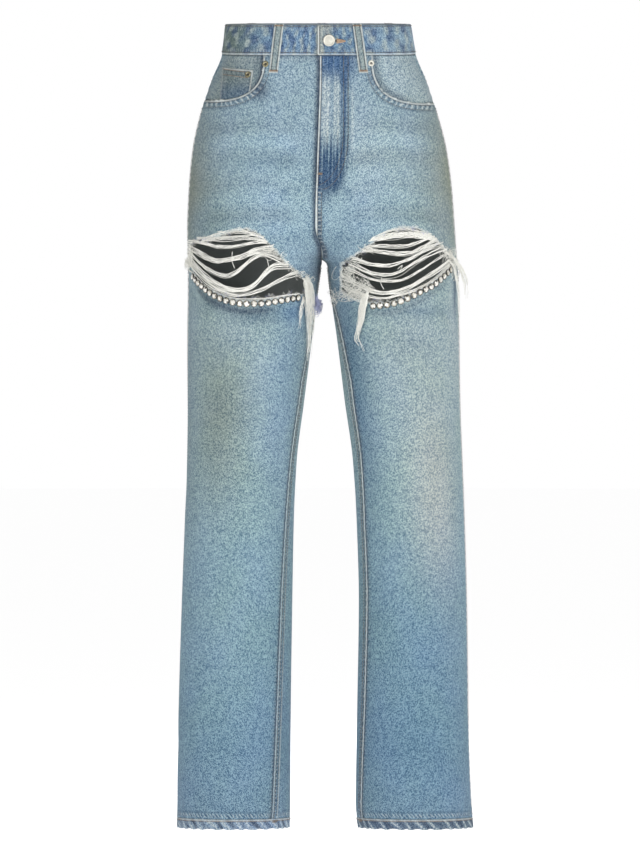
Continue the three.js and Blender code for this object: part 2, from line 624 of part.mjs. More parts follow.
// Crystal trim: a band of set stones sewn along the lower edge of each rip
const TRIM = { below: 5, width: 6.4, wall: 3, clear: 0.6, steps: 18 };
for (const { side, name } of SIDES) {
  const path = RIPS[side].slice(1).map(([x, , bottom]) => [x, bottom + TRIM.below]);
  const trim = band(side, path, TRIM.width, TRIM.wall, TRIM.steps, TRIM.clear + TRIM.wall);
  add(`crystal_trim_${name}`, trim, CRYSTAL);
}

export default jeans;
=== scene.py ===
import math
import random

import bmesh
import bpy
import numpy as np
from mathutils import Matrix, Vector


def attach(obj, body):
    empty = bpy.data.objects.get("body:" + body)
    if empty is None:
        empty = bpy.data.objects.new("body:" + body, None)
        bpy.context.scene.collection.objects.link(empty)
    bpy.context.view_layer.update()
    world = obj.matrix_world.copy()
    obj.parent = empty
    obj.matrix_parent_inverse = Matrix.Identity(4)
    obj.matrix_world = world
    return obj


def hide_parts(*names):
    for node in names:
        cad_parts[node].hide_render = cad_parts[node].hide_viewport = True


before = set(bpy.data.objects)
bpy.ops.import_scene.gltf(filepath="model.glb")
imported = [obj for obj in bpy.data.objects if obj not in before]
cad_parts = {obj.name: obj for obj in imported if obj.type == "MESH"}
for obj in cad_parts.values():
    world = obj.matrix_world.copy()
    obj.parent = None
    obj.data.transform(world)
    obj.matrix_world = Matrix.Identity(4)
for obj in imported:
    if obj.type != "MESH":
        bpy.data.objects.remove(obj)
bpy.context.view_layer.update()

# Studio: a pale floor below the hems, even white surroundings, two large soft lamps in front and one behind.
# The long lens looks level at the middle of the garment, as a catalogue picture does.
scene = bpy.context.scene
camera = bpy.data.objects.new("camera", bpy.data.cameras.new("camera"))
scene.collection.objects.link(camera)
camera.location = (-0.002, -10.0, -0.539)
camera.rotation_euler = (math.radians(90), 0, 0)
camera.data.lens = 315
camera.data.clip_end = 400
scene.camera = camera

scene.view_settings.view_transform = "Standard"

world = bpy.data.worlds.new("white_studio")
world.use_nodes = True
surround = world.node_tree.nodes["Background"]
surround.inputs["Strength"].default_value = 0.25
backdrop = world.node_tree.nodes.new("ShaderNodeBackground")
seen = world.node_tree.nodes.new("ShaderNodeLightPath")
pick = world.node_tree.nodes.new("ShaderNodeMixShader")
for background in (surround, backdrop):
    background.inputs["Color"].default_value = (1, 1, 1, 1)
world.node_tree.links.new(seen.outputs["Is Camera Ray"], pick.inputs["Fac"])
world.node_tree.links.new(surround.outputs[0], pick.inputs[1])
world.node_tree.links.new(backdrop.outputs[0], pick.inputs[2])
world.node_tree.links.new(pick.outputs[0], world.node_tree.nodes["World Output"].inputs["Surface"])
scene.world = world

for lamp_name, place, size, watts in (
    ("soft_lamp_right", (2.2, -3.8, 1.2), 1.6, 80),
    ("soft_lamp_left", (-1.8, -4.2, 0.2), 1.8, 41),
    ("soft_lamp_back", (0.8, 4.2, 0.9), 2.0, 70),
):
    lamp = bpy.data.objects.new(lamp_name, bpy.data.lights.new(lamp_name, "AREA"))
    scene.collection.objects.link(lamp)
    lamp.data.size = size
    lamp.data.energy = watts
    lamp.visible_camera = False
    lamp.location = place
    lamp.rotation_euler = (Vector((0, 0, -0.5)) - Vector(place)).to_track_quat("-Z", "Y").to_euler()


def link_mesh(name, bm, *materials):
    mesh = bpy.data.meshes.new(name)
    bm.to_mesh(mesh)
    bm.free()
    for material in materials:
        mesh.materials.append(material)
    piece = bpy.data.objects.new(name, mesh)
    scene.collection.objects.link(piece)
    return piece


floor_finish = bpy.data.materials.new("pale_floor")
floor_finish.use_nodes = True
floor_paint = floor_finish.node_tree.nodes["Principled BSDF"]
floor_paint.inputs["Base Color"].default_value = (0.85, 0.85, 0.85, 1)
floor_paint.inputs["Roughness"].default_value = 1
floor_paint.inputs["Emission Color"].default_value = (1, 1, 1, 1)
floor_paint.inputs["Emission Strength"].default_value = 0.77
bm = bmesh.new()
FLOOR_LEVEL, FLOOR_REACH = -1.12, 60
below_hems = Matrix.Translation((0, 0, FLOOR_LEVEL))
bmesh.ops.create_grid(bm, x_segments=1, y_segments=1, size=FLOOR_REACH, matrix=below_hems)
link_mesh("floor", bm, floor_finish)

# Leg fronts and backs: four long panels of light-washed twill, sewn to each other at the sides, the
# inseams and the centre seams. They hang filled out and hollow. All sizes are millimetres on the body.
RIGHT, LEFT = -1, 1
SIDES = ((RIGHT, "right"), (LEFT, "left"))
CLOTH = 1.3
CROTCH = 314.0
FLY_BOTTOM = 226.0
WAISTBAND_HEIGHT = 40.0
LENGTH = 1076.0
HEM_TOP = LENGTH - 14
ROUND_LEG = 1.4  # millimetres to a degree round the leg
SEAM_GAP = 0.0015  # half the gap between panels, in radians
FAR = 99  # stands for no seam or opening nearby
# Sections of the filled garment: drop below the waist, then the reach of each outline from the middle
COLUMN = {"right_out": 1, "right_in": 2, "left_in": 3, "left_out": 4, "front": 5, "back": 6}
SECTIONS = np.array([
    (0, 128, 0, 0, 119, 76, 80),
    (40, 133, 0, 0, 126, 81, 87),
    (75, 147, 0, 0, 140, 86, 97),
    (115, 160, 0, 0, 153, 91, 107),
    (169, 172, 0, 0, 167, 97, 117),
    (222, 177, 0, 0, 174, 100, 121),
    (276, 179, 0, 0, 178, 101, 118),
    (314, 178, 0, 0, 181, 100, 112),
    (320, 178, 0.6, 7.5, 182, 100, 111),
    (356, 178, 5.5, 11.5, 184, 98, 106),
    (423, 179, 13, 21, 184, 94, 98),
    (504, 179, 23, 31, 185, 87, 90),
    (584, 180, 33, 42, 188, 81, 84),
    (665, 183, 37, 47, 191, 77, 80),
    (772, 187, 39, 50, 194, 74, 77),
    (906, 191, 41, 48, 196, 74, 76),
    (1040, 193, 42, 46, 200, 76, 77),
    (1076, 193, 43, 49, 203, 77, 78),
], dtype=float)


BULGE = 0.42  # where the front is fullest, as a share of the half width
VALLEY = 45  # height over which the legs part below the seat
FRONT_RISE, BACK_RISE = 95.0, 150.0
WAIST_TILT = 0.07


def level(name, drop):
    """One column of the section table at a drop below the waist, smooth and never past its rows."""
    x, y = SECTIONS[:, 0], SECTIONS[:, COLUMN[name]]
    slope = np.diff(y) / np.diff(x)
    before, after = np.r_[slope[0], slope], np.r_[slope, slope[-1]]
    both = before * after
    tangent = np.where(both > 0, 2 * both / np.where(both > 0, before + after, 1), 0)
    i = np.clip(np.searchsorted(x, drop, side="right") - 1, 0, len(x) - 2)
    span = x[i + 1] - x[i]
    t = np.clip((drop - x[i]) / span, 0, 1)
    rise = t * t * (3 - 2 * t)
    bend = t * (1 - t) * span * (tangent[i] * (1 - t) - tangent[i + 1] * t)
    return y[i] + (y[i + 1] - y[i]) * rise + bend


def smooth(value, low, high):
    t = np.clip((value - low) / (high - low), 0, 1)
    return t * t * (3 - 2 * t)


def mix(a, b, share):
    return a + (b - a) * share


def hump(value, middle, width, power=2):
    """1 at the middle, fading to nothing past the width."""
    return np.exp(-(((value - middle) / width) ** power))


def half_width(side, turn, drop):
    """Distance from the middle at a turn from the outseam (0) to the inseam or centre seam (pi)."""
    outer = np.where(side < 0, level("right_out", drop), level("left_out", drop))
    inner = np.where(side < 0, level("right_in", drop), level("left_in", drop))
    bulge = mix(BULGE * outer, (outer + inner) / 2, smooth(drop, CROTCH - 110, CROTCH + 6))
    pinched = bulge + (bulge - inner) * np.cos(turn)
    opened = mix(bulge, inner, turn / (np.pi / 2) - 1)
    inside = mix(pinched, opened, smooth(CROTCH - drop, 0, VALLEY))
    return np.where(turn <= np.pi / 2, bulge + (outer - bulge) * np.cos(turn), inside)


def plain_form(side, angle, drop):
    """Points in millimetres on the smooth form; the angle runs from the outseam, forward or back."""
    angle = np.where((angle < -np.pi) & (drop > CROTCH), angle + 2 * np.pi, angle)
    turn = np.abs(angle)
    depth = np.where(angle >= 0, -level("front", drop), level("back", drop))
    risen = np.clip((CROTCH - drop) / np.where(angle >= 0, FRONT_RISE, BACK_RISE), 0, 1)
    seam = depth * np.sqrt(1 - (1 - risen) ** 2)
    pinched = seam + (depth - seam) * np.sin(turn)
    valley = mix(depth, seam, (1 - np.cos(2 * turn - np.pi)) / 2)
    inside = mix(pinched, valley, smooth(CROTCH - drop, 0, VALLEY))
    y = np.where(turn > np.pi / 2, inside, depth * np.sin(turn))
    tilt = WAIST_TILT * y * (1 - smooth(drop, 0, CROTCH))
    return np.stack([side * half_width(side, turn, drop), y, tilt - drop], -1)


def outward(side, angle, drop):
    round_leg = plain_form(side, angle + 0.004, drop) - plain_form(side, angle - 0.004, drop)
    down = plain_form(side, angle, drop + 0.5) - plain_form(side, angle, drop - 0.5)
    normal = np.cross(round_leg, down) * np.asarray(side)[..., None]
    return normal / np.linalg.norm(normal, axis=-1, keepdims=True)


# Folds: side, turn in degrees from the outseam round the front, drop, heading from level, then length,
# width and depth
FOLDS = (
    (RIGHT, 95, 578, 22, 46, 15, -3.0), (RIGHT, 78, 542, 14, 52, 20, 2.4),
    (RIGHT, 70, 402, -10, 60, 20, -2.4), (RIGHT, 60, 980, 30, 70, 22, 2.2),
    (LEFT, 14, 372, 82, 46, 18, -3.0), (LEFT, 82, 412, 12, 60, 22, -2.4), (LEFT, 92, 588, -16, 56, 20, 2.4),
    (LEFT, 66, 1000, -28, 70, 22, 2.0), (RIGHT, -95, 352, -14, 60, 16, -4.0),
    (LEFT, -95, 356, 14, 60, 16, -4.0), (RIGHT, -88, 596, 9, 62, 15, -4.0),
    (LEFT, -84, 606, -7, 62, 15, -4.0), (RIGHT, -70, 644, -12, 55, 17, -3.0),
    (LEFT, -96, 652, 12, 55, 17, -3.0), (RIGHT, -60, 930, 24, 70, 20, -2.6),
    (LEFT, -64, 946, -20, 70, 20, -2.6),
)
# Smaller creases: whiskers at the hips, pulls beside the rips, knee and shin creases, and the seat's
CREASES = (
    (RIGHT, 128, 176, -12, 34, 5, -0.9), (RIGHT, 120, 202, -9, 40, 6, 0.8),
    (RIGHT, 108, 152, -14, 30, 5, 0.7), (RIGHT, 80, 226, 10, 36, 6, -0.8), (RIGHT, 60, 262, 16, 26, 6, 1.0),
    (LEFT, 124, 182, 12, 36, 5, -0.9), (LEFT, 112, 208, 9, 42, 6, 0.8), (LEFT, 98, 160, 13, 30, 5, 0.7),
    (LEFT, 76, 232, -11, 36, 6, -0.8), (LEFT, 48, 268, -18, 26, 6, 1.0), (RIGHT, 40, 386, 24, 22, 6, -1.6),
    (RIGHT, 28, 366, 40, 20, 5, -1.8), (RIGHT, 104, 396, 4, 26, 7, 1.2),
    (RIGHT, 130, 410, -26, 28, 7, -1.2), (LEFT, 34, 392, -30, 24, 6, -1.6),
    (LEFT, 24, 350, 78, 30, 5, -1.6), (LEFT, 112, 402, 12, 30, 7, 1.1), (LEFT, 138, 420, 30, 26, 7, -1.2),
    (RIGHT, 62, 470, 64, 60, 9, 0.9), (RIGHT, 118, 506, 70, 70, 10, -0.9), (LEFT, 58, 500, -66, 66, 9, 0.9),
    (LEFT, 120, 530, -72, 70, 10, -0.9), (RIGHT, 104, 610, -8, 30, 7, 1.0), (LEFT, 74, 626, 9, 32, 7, -1.0),
    (RIGHT, 52, 706, 76, 90, 11, 0.9), (LEFT, 128, 722, 80, 90, 11, -0.9),
    (RIGHT, 126, 812, -82, 90, 11, 0.8), (LEFT, 56, 842, -80, 90, 11, 0.9),
    (RIGHT, 74, 926, 36, 40, 8, -1.0), (LEFT, 100, 934, -34, 42, 8, -1.0),
    (RIGHT, 110, 1016, -24, 30, 7, 0.9), (LEFT, 44, 1022, 26, 30, 7, 0.9),
    (RIGHT, -60, 330, -22, 36, 7, -1.8), (LEFT, -58, 334, 24, 36, 7, -1.8),
    (RIGHT, -120, 372, -6, 30, 7, 1.2), (LEFT, -122, 378, 8, 30, 7, 1.2),
    (RIGHT, -104, 566, -5, 40, 8, 1.6), (LEFT, -74, 572, 6, 40, 8, 1.6), (RIGHT, -62, 616, 20, 30, 7, -1.8),
    (LEFT, -110, 628, -18, 30, 7, -1.8), (RIGHT, -112, 622, 14, 28, 6, 1.3),
    (LEFT, -66, 636, -12, 28, 6, 1.3), (RIGHT, -86, 460, 74, 70, 11, -1.0),
    (LEFT, -92, 474, -72, 70, 11, -1.0), (RIGHT, -108, 800, 78, 90, 12, 0.9),
    (LEFT, -70, 812, -80, 90, 12, 0.9), (RIGHT, -90, 1000, 20, 40, 9, -1.2),
    (LEFT, -98, 1012, -18, 40, 9, -1.2),
)


def fold_height(side, angle, drop):
    height = np.zeros(np.broadcast(side, angle, drop).shape)
    turn = np.degrees(angle)
    for fold_side, fold_turn, fold_drop, heading, length, width, depth in FOLDS + CREASES:
        round_leg, down = (turn - fold_turn) * ROUND_LEG, drop - fold_drop
        c, s = math.cos(math.radians(heading)), math.sin(math.radians(heading))
        along, across = (round_leg * c + down * s) / length, (down * c - round_leg * s) / width
        height += np.where(side == fold_side, depth * np.exp(-along**2 - across**2), 0)
    return height


def on_cloth(side, angle, drop, lift=0.0):
    """Points on the folded cloth in metres, moved out by lift millimetres."""
    side, angle, drop, lift = np.broadcast_arrays(side, angle, np.asarray(drop, float), lift)
    raised = (fold_height(side, angle, drop) + lift)[..., None]
    return (plain_form(side, angle, drop) + outward(side, angle, drop) * raised) * 0.001


def angle_at(side, x, drop):
    """The turn where the plain form lies x millimetres from the middle."""
    x, drop = np.broadcast_arrays(np.asarray(x, float), np.asarray(drop, float))
    low, high = np.zeros(x.shape), np.full(x.shape, np.pi) + np.where(x < 0, 0.4, 0)
    for _ in range(36):
        middle = (low + high) / 2
        beyond = half_width(side, middle, drop) > x
        low, high = np.where(beyond, middle, low), np.where(beyond, high, middle)
    return (low + high) / 2


# Degrees that the seams swing round the leg: the outseam back, and the inseam forward at each drop
OUTSEAM_SWING = {RIGHT: 10, LEFT: 2}
INSEAM_DROPS = (CROTCH, 400, 477, 571, 665, 758, 906, 1063)
INSEAM_SWING = {RIGHT: (0, 14, 24, 27, 32, 37, 41, 47), LEFT: (0, 22, 32, 33, 32, 33, 31, 25)}


def seam_angles(side, drop):
    """The outseam and the inseam."""
    outer = -math.radians(OUTSEAM_SWING[side]) * smooth(drop, CROTCH, CROTCH + 260)
    return outer, np.pi - np.radians(np.interp(drop, INSEAM_DROPS, INSEAM_SWING[side]))


def centre_shift(drop):
    """How far the front's centre seam leans to the wearer's right of the middle."""
    return (2.4 + 5.2 * smooth(drop, 50, 250)) * (1 - smooth(drop, 282, 308))


def centre_turn(side, drop):
    return side * centre_shift(drop) / (BULGE * 2 / np.pi * level("left_out", drop))


# Wash: the bleached colour at each drop, then pale, sage, khaki and dark patches, each with its side,
# turn and drop, its reach in degrees and millimetres, its colour and its strength. The khaki at the hip
# sides is partly dye and partly painted shade where the hips round away; the dark patches below the
# rips' stones, in the crotch, along the left leg's fold beside its rip and below the pocket mouths are
# painted shade
WASH_LEVELS = (
    (0, (0.23, 0.34, 0.42)), (60, (0.27, 0.38, 0.44)), (165, (0.26, 0.375, 0.46)),
    (300, (0.26, 0.38, 0.45)), (420, (0.31, 0.42, 0.45)), (560, (0.27, 0.39, 0.43)),
    (700, (0.22, 0.35, 0.42)), (800, (0.19, 0.32, 0.40)), (960, (0.155, 0.275, 0.375)),
    (1076, (0.16, 0.27, 0.37)),
)
WASH_AND_SHADE_PATCHES = (
    # Khaki at the hip sides, this patch and the first of the next line: partly dye, partly painted shade
    (RIGHT, 12, 232, 37, 96, (0.195, 0.218, 0.165), 0.9),
    (LEFT, 6, 215, 46, 105, (0.245, 0.272, 0.205), 0.95), (RIGHT, 42, 266, 24, 30, (0.19, 0.28, 0.32), 0.7),
    (LEFT, 30, 262, 20, 34, (0.25, 0.32, 0.33), 0.7), (RIGHT, 66, 520, 34, 125, (0.20, 0.26, 0.25), 0.95),
    (RIGHT, 80, 400, 36, 46, (0.30, 0.40, 0.42), 0.7),
    (RIGHT, 132, 470, 26, 170, (0.20, 0.315, 0.42), 0.85),
    (RIGHT, 14, 520, 16, 180, (0.19, 0.27, 0.32), 0.7),
    (LEFT, 62, 620, 32, 160, (0.375, 0.42, 0.415), 0.95),
    (LEFT, 80, 420, 38, 80, (0.28, 0.36, 0.375), 0.85), (LEFT, 20, 420, 24, 90, (0.38, 0.47, 0.49), 0.8),
    (LEFT, 146, 480, 26, 170, (0.10, 0.20, 0.305), 0.9), (LEFT, 84, 830, 50, 100, (0.14, 0.26, 0.36), 0.8),
    (LEFT, 86, 960, 60, 80, (0.12, 0.235, 0.345), 0.8), (RIGHT, 70, 790, 40, 80, (0.22, 0.345, 0.41), 0.6),
    # Painted shade from here through the first patch of the fourth line: below the rips' stones, in the
    # crotch, and along the left leg's fold beside its rip
    (RIGHT, 96, 392, 26, 12, (0.10, 0.17, 0.22), 0.75), (RIGHT, 58, 376, 20, 12, (0.10, 0.16, 0.20), 0.7),
    (RIGHT, 132, 388, 16, 16, (0.11, 0.22, 0.38), 0.7), (RIGHT, 179, 332, 24, 22, (0.03, 0.05, 0.09), 0.95),
    (RIGHT, -178, 336, 20, 30, (0.03, 0.05, 0.09), 0.9), (LEFT, 62, 386, 34, 9, (0.12, 0.20, 0.27), 0.6),
    (LEFT, 16, 360, 5, 30, (0.08, 0.14, 0.22), 0.95), (RIGHT, 100, 186, 46, 11, (0.19, 0.30, 0.39), 0.6),
    (LEFT, 104, 165, 40, 60, (0.32, 0.42, 0.48), 0.8), (RIGHT, -95, 230, 55, 90, (0.33, 0.43, 0.47), 0.7),
    (LEFT, -95, 230, 55, 90, (0.33, 0.43, 0.47), 0.7), (RIGHT, -90, 600, 30, 60, (0.30, 0.40, 0.42), 0.7),
    # The left back knee's pale patch, then painted shade below the two pocket mouths
    (LEFT, -90, 610, 30, 60, (0.30, 0.40, 0.42), 0.7), (RIGHT, 77, 88, 8, 13, (0.06, 0.11, 0.20), 0.7),
    (LEFT, 82, 72, 6, 14, (0.09, 0.15, 0.24), 0.6),
)


def wash_and_shade_at(side, angle, drop):
    drops = [row[0] for row in WASH_LEVELS]
    colour = np.stack([np.interp(drop, drops, [row[1][k] for row in WASH_LEVELS]) for k in range(3)], -1)
    turn = np.degrees(angle)
    for patch_side, patch_turn, patch_drop, reach, tall, patch_colour, amount in WASH_AND_SHADE_PATCHES:
        near = np.exp(-(((turn - patch_turn) / reach) ** 2) - ((drop - patch_drop) / tall) ** 2) * amount
        near = np.where(side == patch_side, near, 0)[..., None]
        colour = mix(colour, np.array(patch_colour), near)
    x = half_width(side, np.abs(angle), drop)
    whisker = np.sin(drop / 6.5 + x / 60 + 1.6 * np.sin(x / 43))
    whisker = whisker + 0.8 * np.sin(drop / 10.3 - x / 75 + 0.4 * side)
    hips = smooth(drop, 110, 150) * (1 - smooth(drop, 262, 300)) * (angle > 0)
    hips = hips * smooth(x, 20, 50) * (1 - smooth(x, 140, 165))
    return colour * (1 + 0.08 * whisker * hips)[..., None]


def seam_marks(seams, shape):
    """Each point's nearest sewn edge: place along it, distance, how worn the edge is, which also sets the
    painted shade of the groove beside it, and how puckered, which sets the painted shade in the puckers' dips
    and the wear on their crests.
    """
    if not seams:
        return np.broadcast_to(np.array((0, FAR, 0, 0.0)), (*shape, 4))
    marks = np.array([np.stack([part + np.zeros(shape) for part in seam], -1) for seam in seams])
    nearest = np.argmin(marks[..., 1], axis=0)
    return np.take_along_axis(marks, nearest[None, ..., None], 0)[0]


def shell(name, rows, columns, place, wall=CLOTH, hole=None, wash_and_shade=wash_and_shade_at, worn=None, seams=None):
    """A wall of cloth from a grid; place(v, u) gives side, angle, drop and lift, v down and u across."""
    bm = bmesh.new()
    bmesh.ops.create_grid(bm, x_segments=columns, y_segments=rows, size=0.5)
    bm.verts.ensure_lookup_table()
    spots = np.array([(round((0.5 - v.co.y) * rows), round((v.co.x + 0.5) * columns)) for v in bm.verts])
    v, u = np.meshgrid(np.linspace(0, 1, rows + 1), np.linspace(0, 1, columns + 1), indexing="ij")
    side, angle, drop, lift = (np.array(x, float) for x in np.broadcast_arrays(*place(v, u)))
    inside = None
    if hole is not None:
        angle, drop, inside = trim_to(hole, side, angle, drop)
    points = on_cloth(side, angle, drop, lift)
    steps = np.linalg.norm(np.diff(points, axis=1), axis=2)
    across = np.concatenate([np.zeros((rows + 1, 1)), np.cumsum(steps, axis=1)], axis=1)
    across -= across[:, columns // 2][:, None]
    colour = wash_and_shade(side, angle, drop)
    rubbed = np.zeros(drop.shape) if worn is None else worn(side, angle, drop, v, u)
    marks = seam_marks(seams(side, angle, drop, v, u) if seams else (), drop.shape)
    # The wash attribute holds the cloth's dye and, on the fronts, backs and facings, painted shade
    wash_layer = bm.verts.layers.float_color.new("wash_and_shade")
    seam_layer = bm.verts.layers.float_color.new("seam")
    worn_layer = bm.verts.layers.float.new("worn")
    cloth_uv = bm.loops.layers.uv.new("cloth")
    for vert, (r, c) in zip(bm.verts, spots):
        vert.co = points[r, c]
        vert[wash_layer] = (*colour[r, c], 1)
        vert[worn_layer] = rubbed[r, c]
        vert[seam_layer] = marks[r, c]
    for face in bm.faces:
        face.smooth = True
        for corner in face.loops:
            r, c = spots[corner.vert.index]
            corner[cloth_uv].uv = (across[r, c], -drop[r, c] * 0.001)
    if inside is not None:
        cut = [f for f in bm.faces if np.mean([inside[tuple(spots[v.index])] for v in f.verts]) > 0]
        bmesh.ops.delete(bm, geom=cut, context="FACES")
    r, c = rows // 2, columns // 2
    middle = outward(side[r, c], angle[r, c], drop[r, c])
    bm.faces.ensure_lookup_table()
    bm.normal_update()
    nearest = min(bm.faces, key=lambda f: (f.calc_center_median() - Vector(points[r, c])).length_squared)
    if nearest.normal.dot(Vector(middle)) < 0:
        bmesh.ops.reverse_faces(bm, faces=bm.faces[:])
    piece = link_mesh(name, bm, denim_face, denim_inside)
    walls = piece.modifiers.new("wall", "SOLIDIFY")
    walls.thickness = wall * 0.001
    walls.offset = -1
    walls.material_offset = 1
    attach(piece, "root")
    return piece


def trim_to(hole, side, angle, drop):
    """Moves grid points that lie close to a hole's edge onto it; hole is positive inside, in millimetres."""
    round_leg = plain_form(side, angle + 0.01, drop) - plain_form(side, angle - 0.01, drop)
    reach = np.linalg.norm(round_leg, axis=-1) / 0.02
    cell = np.abs(np.gradient(angle, axis=1)) * reach
    cell = np.maximum(cell, np.abs(np.gradient(drop, axis=0)))
    value = hole(side, angle, drop)
    close = np.abs(value) < 0.52 * cell
    for _ in range(3):
        value = hole(side, angle, drop)
        slope_round = (hole(side, angle + 0.002, drop) - hole(side, angle - 0.002, drop)) / (0.004 * reach)
        slope_down = (hole(side, angle, drop + 0.1) - hole(side, angle, drop - 0.1)) / 0.2
        steep = np.maximum(slope_round**2 + slope_down**2, 0.05)
        step = np.clip(value / steep, -cell, cell)
        angle = np.where(close, angle - step * slope_round / reach, angle)
        drop = np.where(close, drop - step * slope_down, drop)
    value = hole(side, angle, drop)
    return angle, drop, np.where(close, 0, value)


# Tints of the cloth: its flecks, the drift from warm to cool, the painted shade beside sewn edges, worn
# edges, and its inner face, grey at the thighs as painted shade of the unlit hollow
DARK_FLECK, LIGHT_FLECK, BARE_COTTON = (0.40, 0.49, 0.60, 1), (1.36, 1.30, 1.22, 1), (0.05, 0.05, 0.045, 1)
WARM_DRIFT, COOL_DRIFT = (1.01, 1.015, 0.965, 1), (0.99, 0.99, 1.025, 1)
SEAM_PAINTED_SHADE, WORN_WHITE = (0.22, 0.29, 0.38, 1), (0.68, 0.72, 0.70, 1)
UNDYED_GREY, HOLLOW_PAINTED_SHADE = (0.42, 0.44, 0.44, 1), (0.40, 0.43, 0.42, 1)


def feed(tree, socket, value):
    """Links a socket from another node's socket, or sets it."""
    if isinstance(value, bpy.types.NodeSocket):
        tree.links.new(value, socket)
    else:
        socket.default_value = value


def add_node(tree, kind, **settings):
    """A node with its inputs fed by name; what isn't an input is set on the node."""
    made = tree.nodes.new(kind)
    for key, value in settings.items():
        socket = made.inputs.get(key.replace("_", " ").title()) or made.inputs.get(key)
        if socket is None:
            setattr(made, key, value)
        else:
            feed(tree, socket, value)
    return made


def denim(name, inside=False):
    """Washed twill: the wash colour broken up by flecks, twill lines and slubs; white where worn, with
    painted shade beside sewn edges.
    """
    finish = bpy.data.materials.new(name)
    finish.use_nodes = True
    tree = finish.node_tree
    shader = tree.nodes["Principled BSDF"]
    uv = add_node(tree, "ShaderNodeUVMap", uv_map="cloth").outputs["UV"]
    wash_and_shade = add_node(tree, "ShaderNodeAttribute", attribute_name="wash_and_shade").outputs["Color"]
    worn = add_node(tree, "ShaderNodeAttribute", attribute_name="worn").outputs["Fac"]

    def noise(scale, detail, rough):
        stretch = add_node(tree, "ShaderNodeMapping", vector=uv, Scale=(*scale, 1)).outputs["Vector"]
        made = add_node(tree, "ShaderNodeTexNoise", Vector=stretch, Scale=1, Detail=detail, Roughness=rough)
        return made.outputs["Fac"]

    def slanted(degrees):
        turn = (0, 0, math.radians(degrees))
        return add_node(tree, "ShaderNodeMapping", vector=uv, Rotation=turn).outputs["Vector"]

    def sum_of(a, b, kind="ADD"):
        made = add_node(tree, "ShaderNodeMath", operation=kind)
        for socket, value in zip(made.inputs, (a, b)):
            feed(tree, socket, value)
        return made.outputs[0]

    def blend(factor, a, b, kind="MIX"):
        made = add_node(tree, "ShaderNodeMix", data_type="RGBA", blend_type=kind)
        for socket, value in zip((0, 6, 7), (factor, a, b)):
            feed(tree, made.inputs[socket], value)
        return made.outputs[2]

    def spread(value, low, high, to_low, to_high):
        made = add_node(tree, "ShaderNodeMapRange", Value=value)
        for key, number in zip((1, 2, 3, 4), (low, high, to_low, to_high)):
            made.inputs[key].default_value = number
        return made.outputs[0]

    twill = {"Scale": 250, "Distortion": 2.5, "Detail": 2, "Detail Scale": 1.6}
    lines = add_node(tree, "ShaderNodeTexWave", Vector=slanted(-28), **twill).outputs["Fac"]
    fine = add_node(tree, "ShaderNodeMapping", vector=slanted(-24), Scale=(1500, 900, 1)).outputs["Vector"]
    cells = add_node(tree, "ShaderNodeTexVoronoi", voronoi_dimensions="2D", Vector=fine, Scale=1)
    flecks = add_node(tree, "ShaderNodeSeparateXYZ", Vector=cells.outputs["Color"]).outputs["X"]
    red, _, blue = add_node(tree, "ShaderNodeSeparateColor", Color=wash_and_shade).outputs
    strength = spread(sum_of(blue, red, "SUBTRACT"), 0.0, 0.16, 0.5, 1.0)
    slubs = noise((640, 15), 2, 0.6)
    mottle = noise((24, 17), 4, 0.6)
    tone = sum_of(spread(flecks, 0.1, 0.9, -2.1, 2.1), strength, "MULTIPLY")
    tone = sum_of(tone, spread(slubs, 0.3, 0.7, -0.13, 0.13))
    tone = sum_of(tone, spread(lines, 0, 1, -0.1, 0.1))
    tone = sum_of(tone, spread(mottle, 0.3, 0.7, -0.2, 0.2))
    lightness = spread(tone, -1.05, 1.05, 0, 1)
    dark = blend(1.0, wash_and_shade, DARK_FLECK, "MULTIPLY")
    light = blend(1.0, blend(1.0, wash_and_shade, LIGHT_FLECK, "MULTIPLY"), BARE_COTTON, "ADD")
    colour = blend(lightness, dark, light)
    drift = spread(noise((12, 8), 2, 0.6), 0.35, 0.65, 0, 1)
    colour = blend(1.0, colour, blend(drift, WARM_DRIFT, COOL_DRIFT), "MULTIPLY")
    patches = noise((130, 130), 3, 0.7)
    seam = add_node(tree, "ShaderNodeAttribute", attribute_name="seam")
    along, away, edged = add_node(tree, "ShaderNodeSeparateXYZ", Vector=seam.outputs["Vector"]).outputs
    puckered = seam.outputs["Alpha"]

    def strip(strength, start, full, fade, end):
        rise, fall = spread(away, start, full, 0, 1), spread(away, fade, end, 1, 0)
        return sum_of(strength, sum_of(rise, fall, "MULTIPLY"), "MULTIPLY")

    # Painted shade beside sewn edges: a dark groove past the worn edge, dark dips between the puckers and a
    # faint dark far row; the puckers' crests are worn white
    edge, groove = strip(edged, -2, -1, 1.5, 2.4), strip(edged, 1.9, 2.5, 3.3, 4.4)
    pucker, far_row = strip(puckered, 2.4, 3.4, 6.6, 8.6), strip(puckered, 7.6, 8.4, 9.2, 11.5)
    wave = sum_of(sum_of(along, 1.16, "MULTIPLY"), sum_of(patches, 9, "MULTIPLY"))
    wave = sum_of(wave, 0, "SINE")  # the second socket is unused
    dip = sum_of(pucker, spread(wave, -0.2, 1.0, 0.1, 0.62), "MULTIPLY")
    shaded = sum_of(sum_of(groove, 0.55, "MULTIPLY"), sum_of(dip, sum_of(far_row, 0.5, "MULTIPLY")))
    shaded = sum_of(shaded, 0.85, "MINIMUM")
    colour = blend(shaded, colour, blend(1.0, wash_and_shade, SEAM_PAINTED_SHADE, "MULTIPLY"))
    crest = sum_of(pucker, spread(wave, -0.3, -1, 0, 0.75), "MULTIPLY")
    rub = spread(sum_of(worn, sum_of(flecks, patches), "MULTIPLY"), 0.45, 1.25, 0, 0.9)
    edge_rub = sum_of(sum_of(edge, crest), spread(patches, 0.3, 0.6, 0.45, 1), "MULTIPLY")
    rub = sum_of(sum_of(rub, edge_rub), 0.9, "MINIMUM")
    colour = blend(rub, colour, WORN_WHITE)
    if inside:
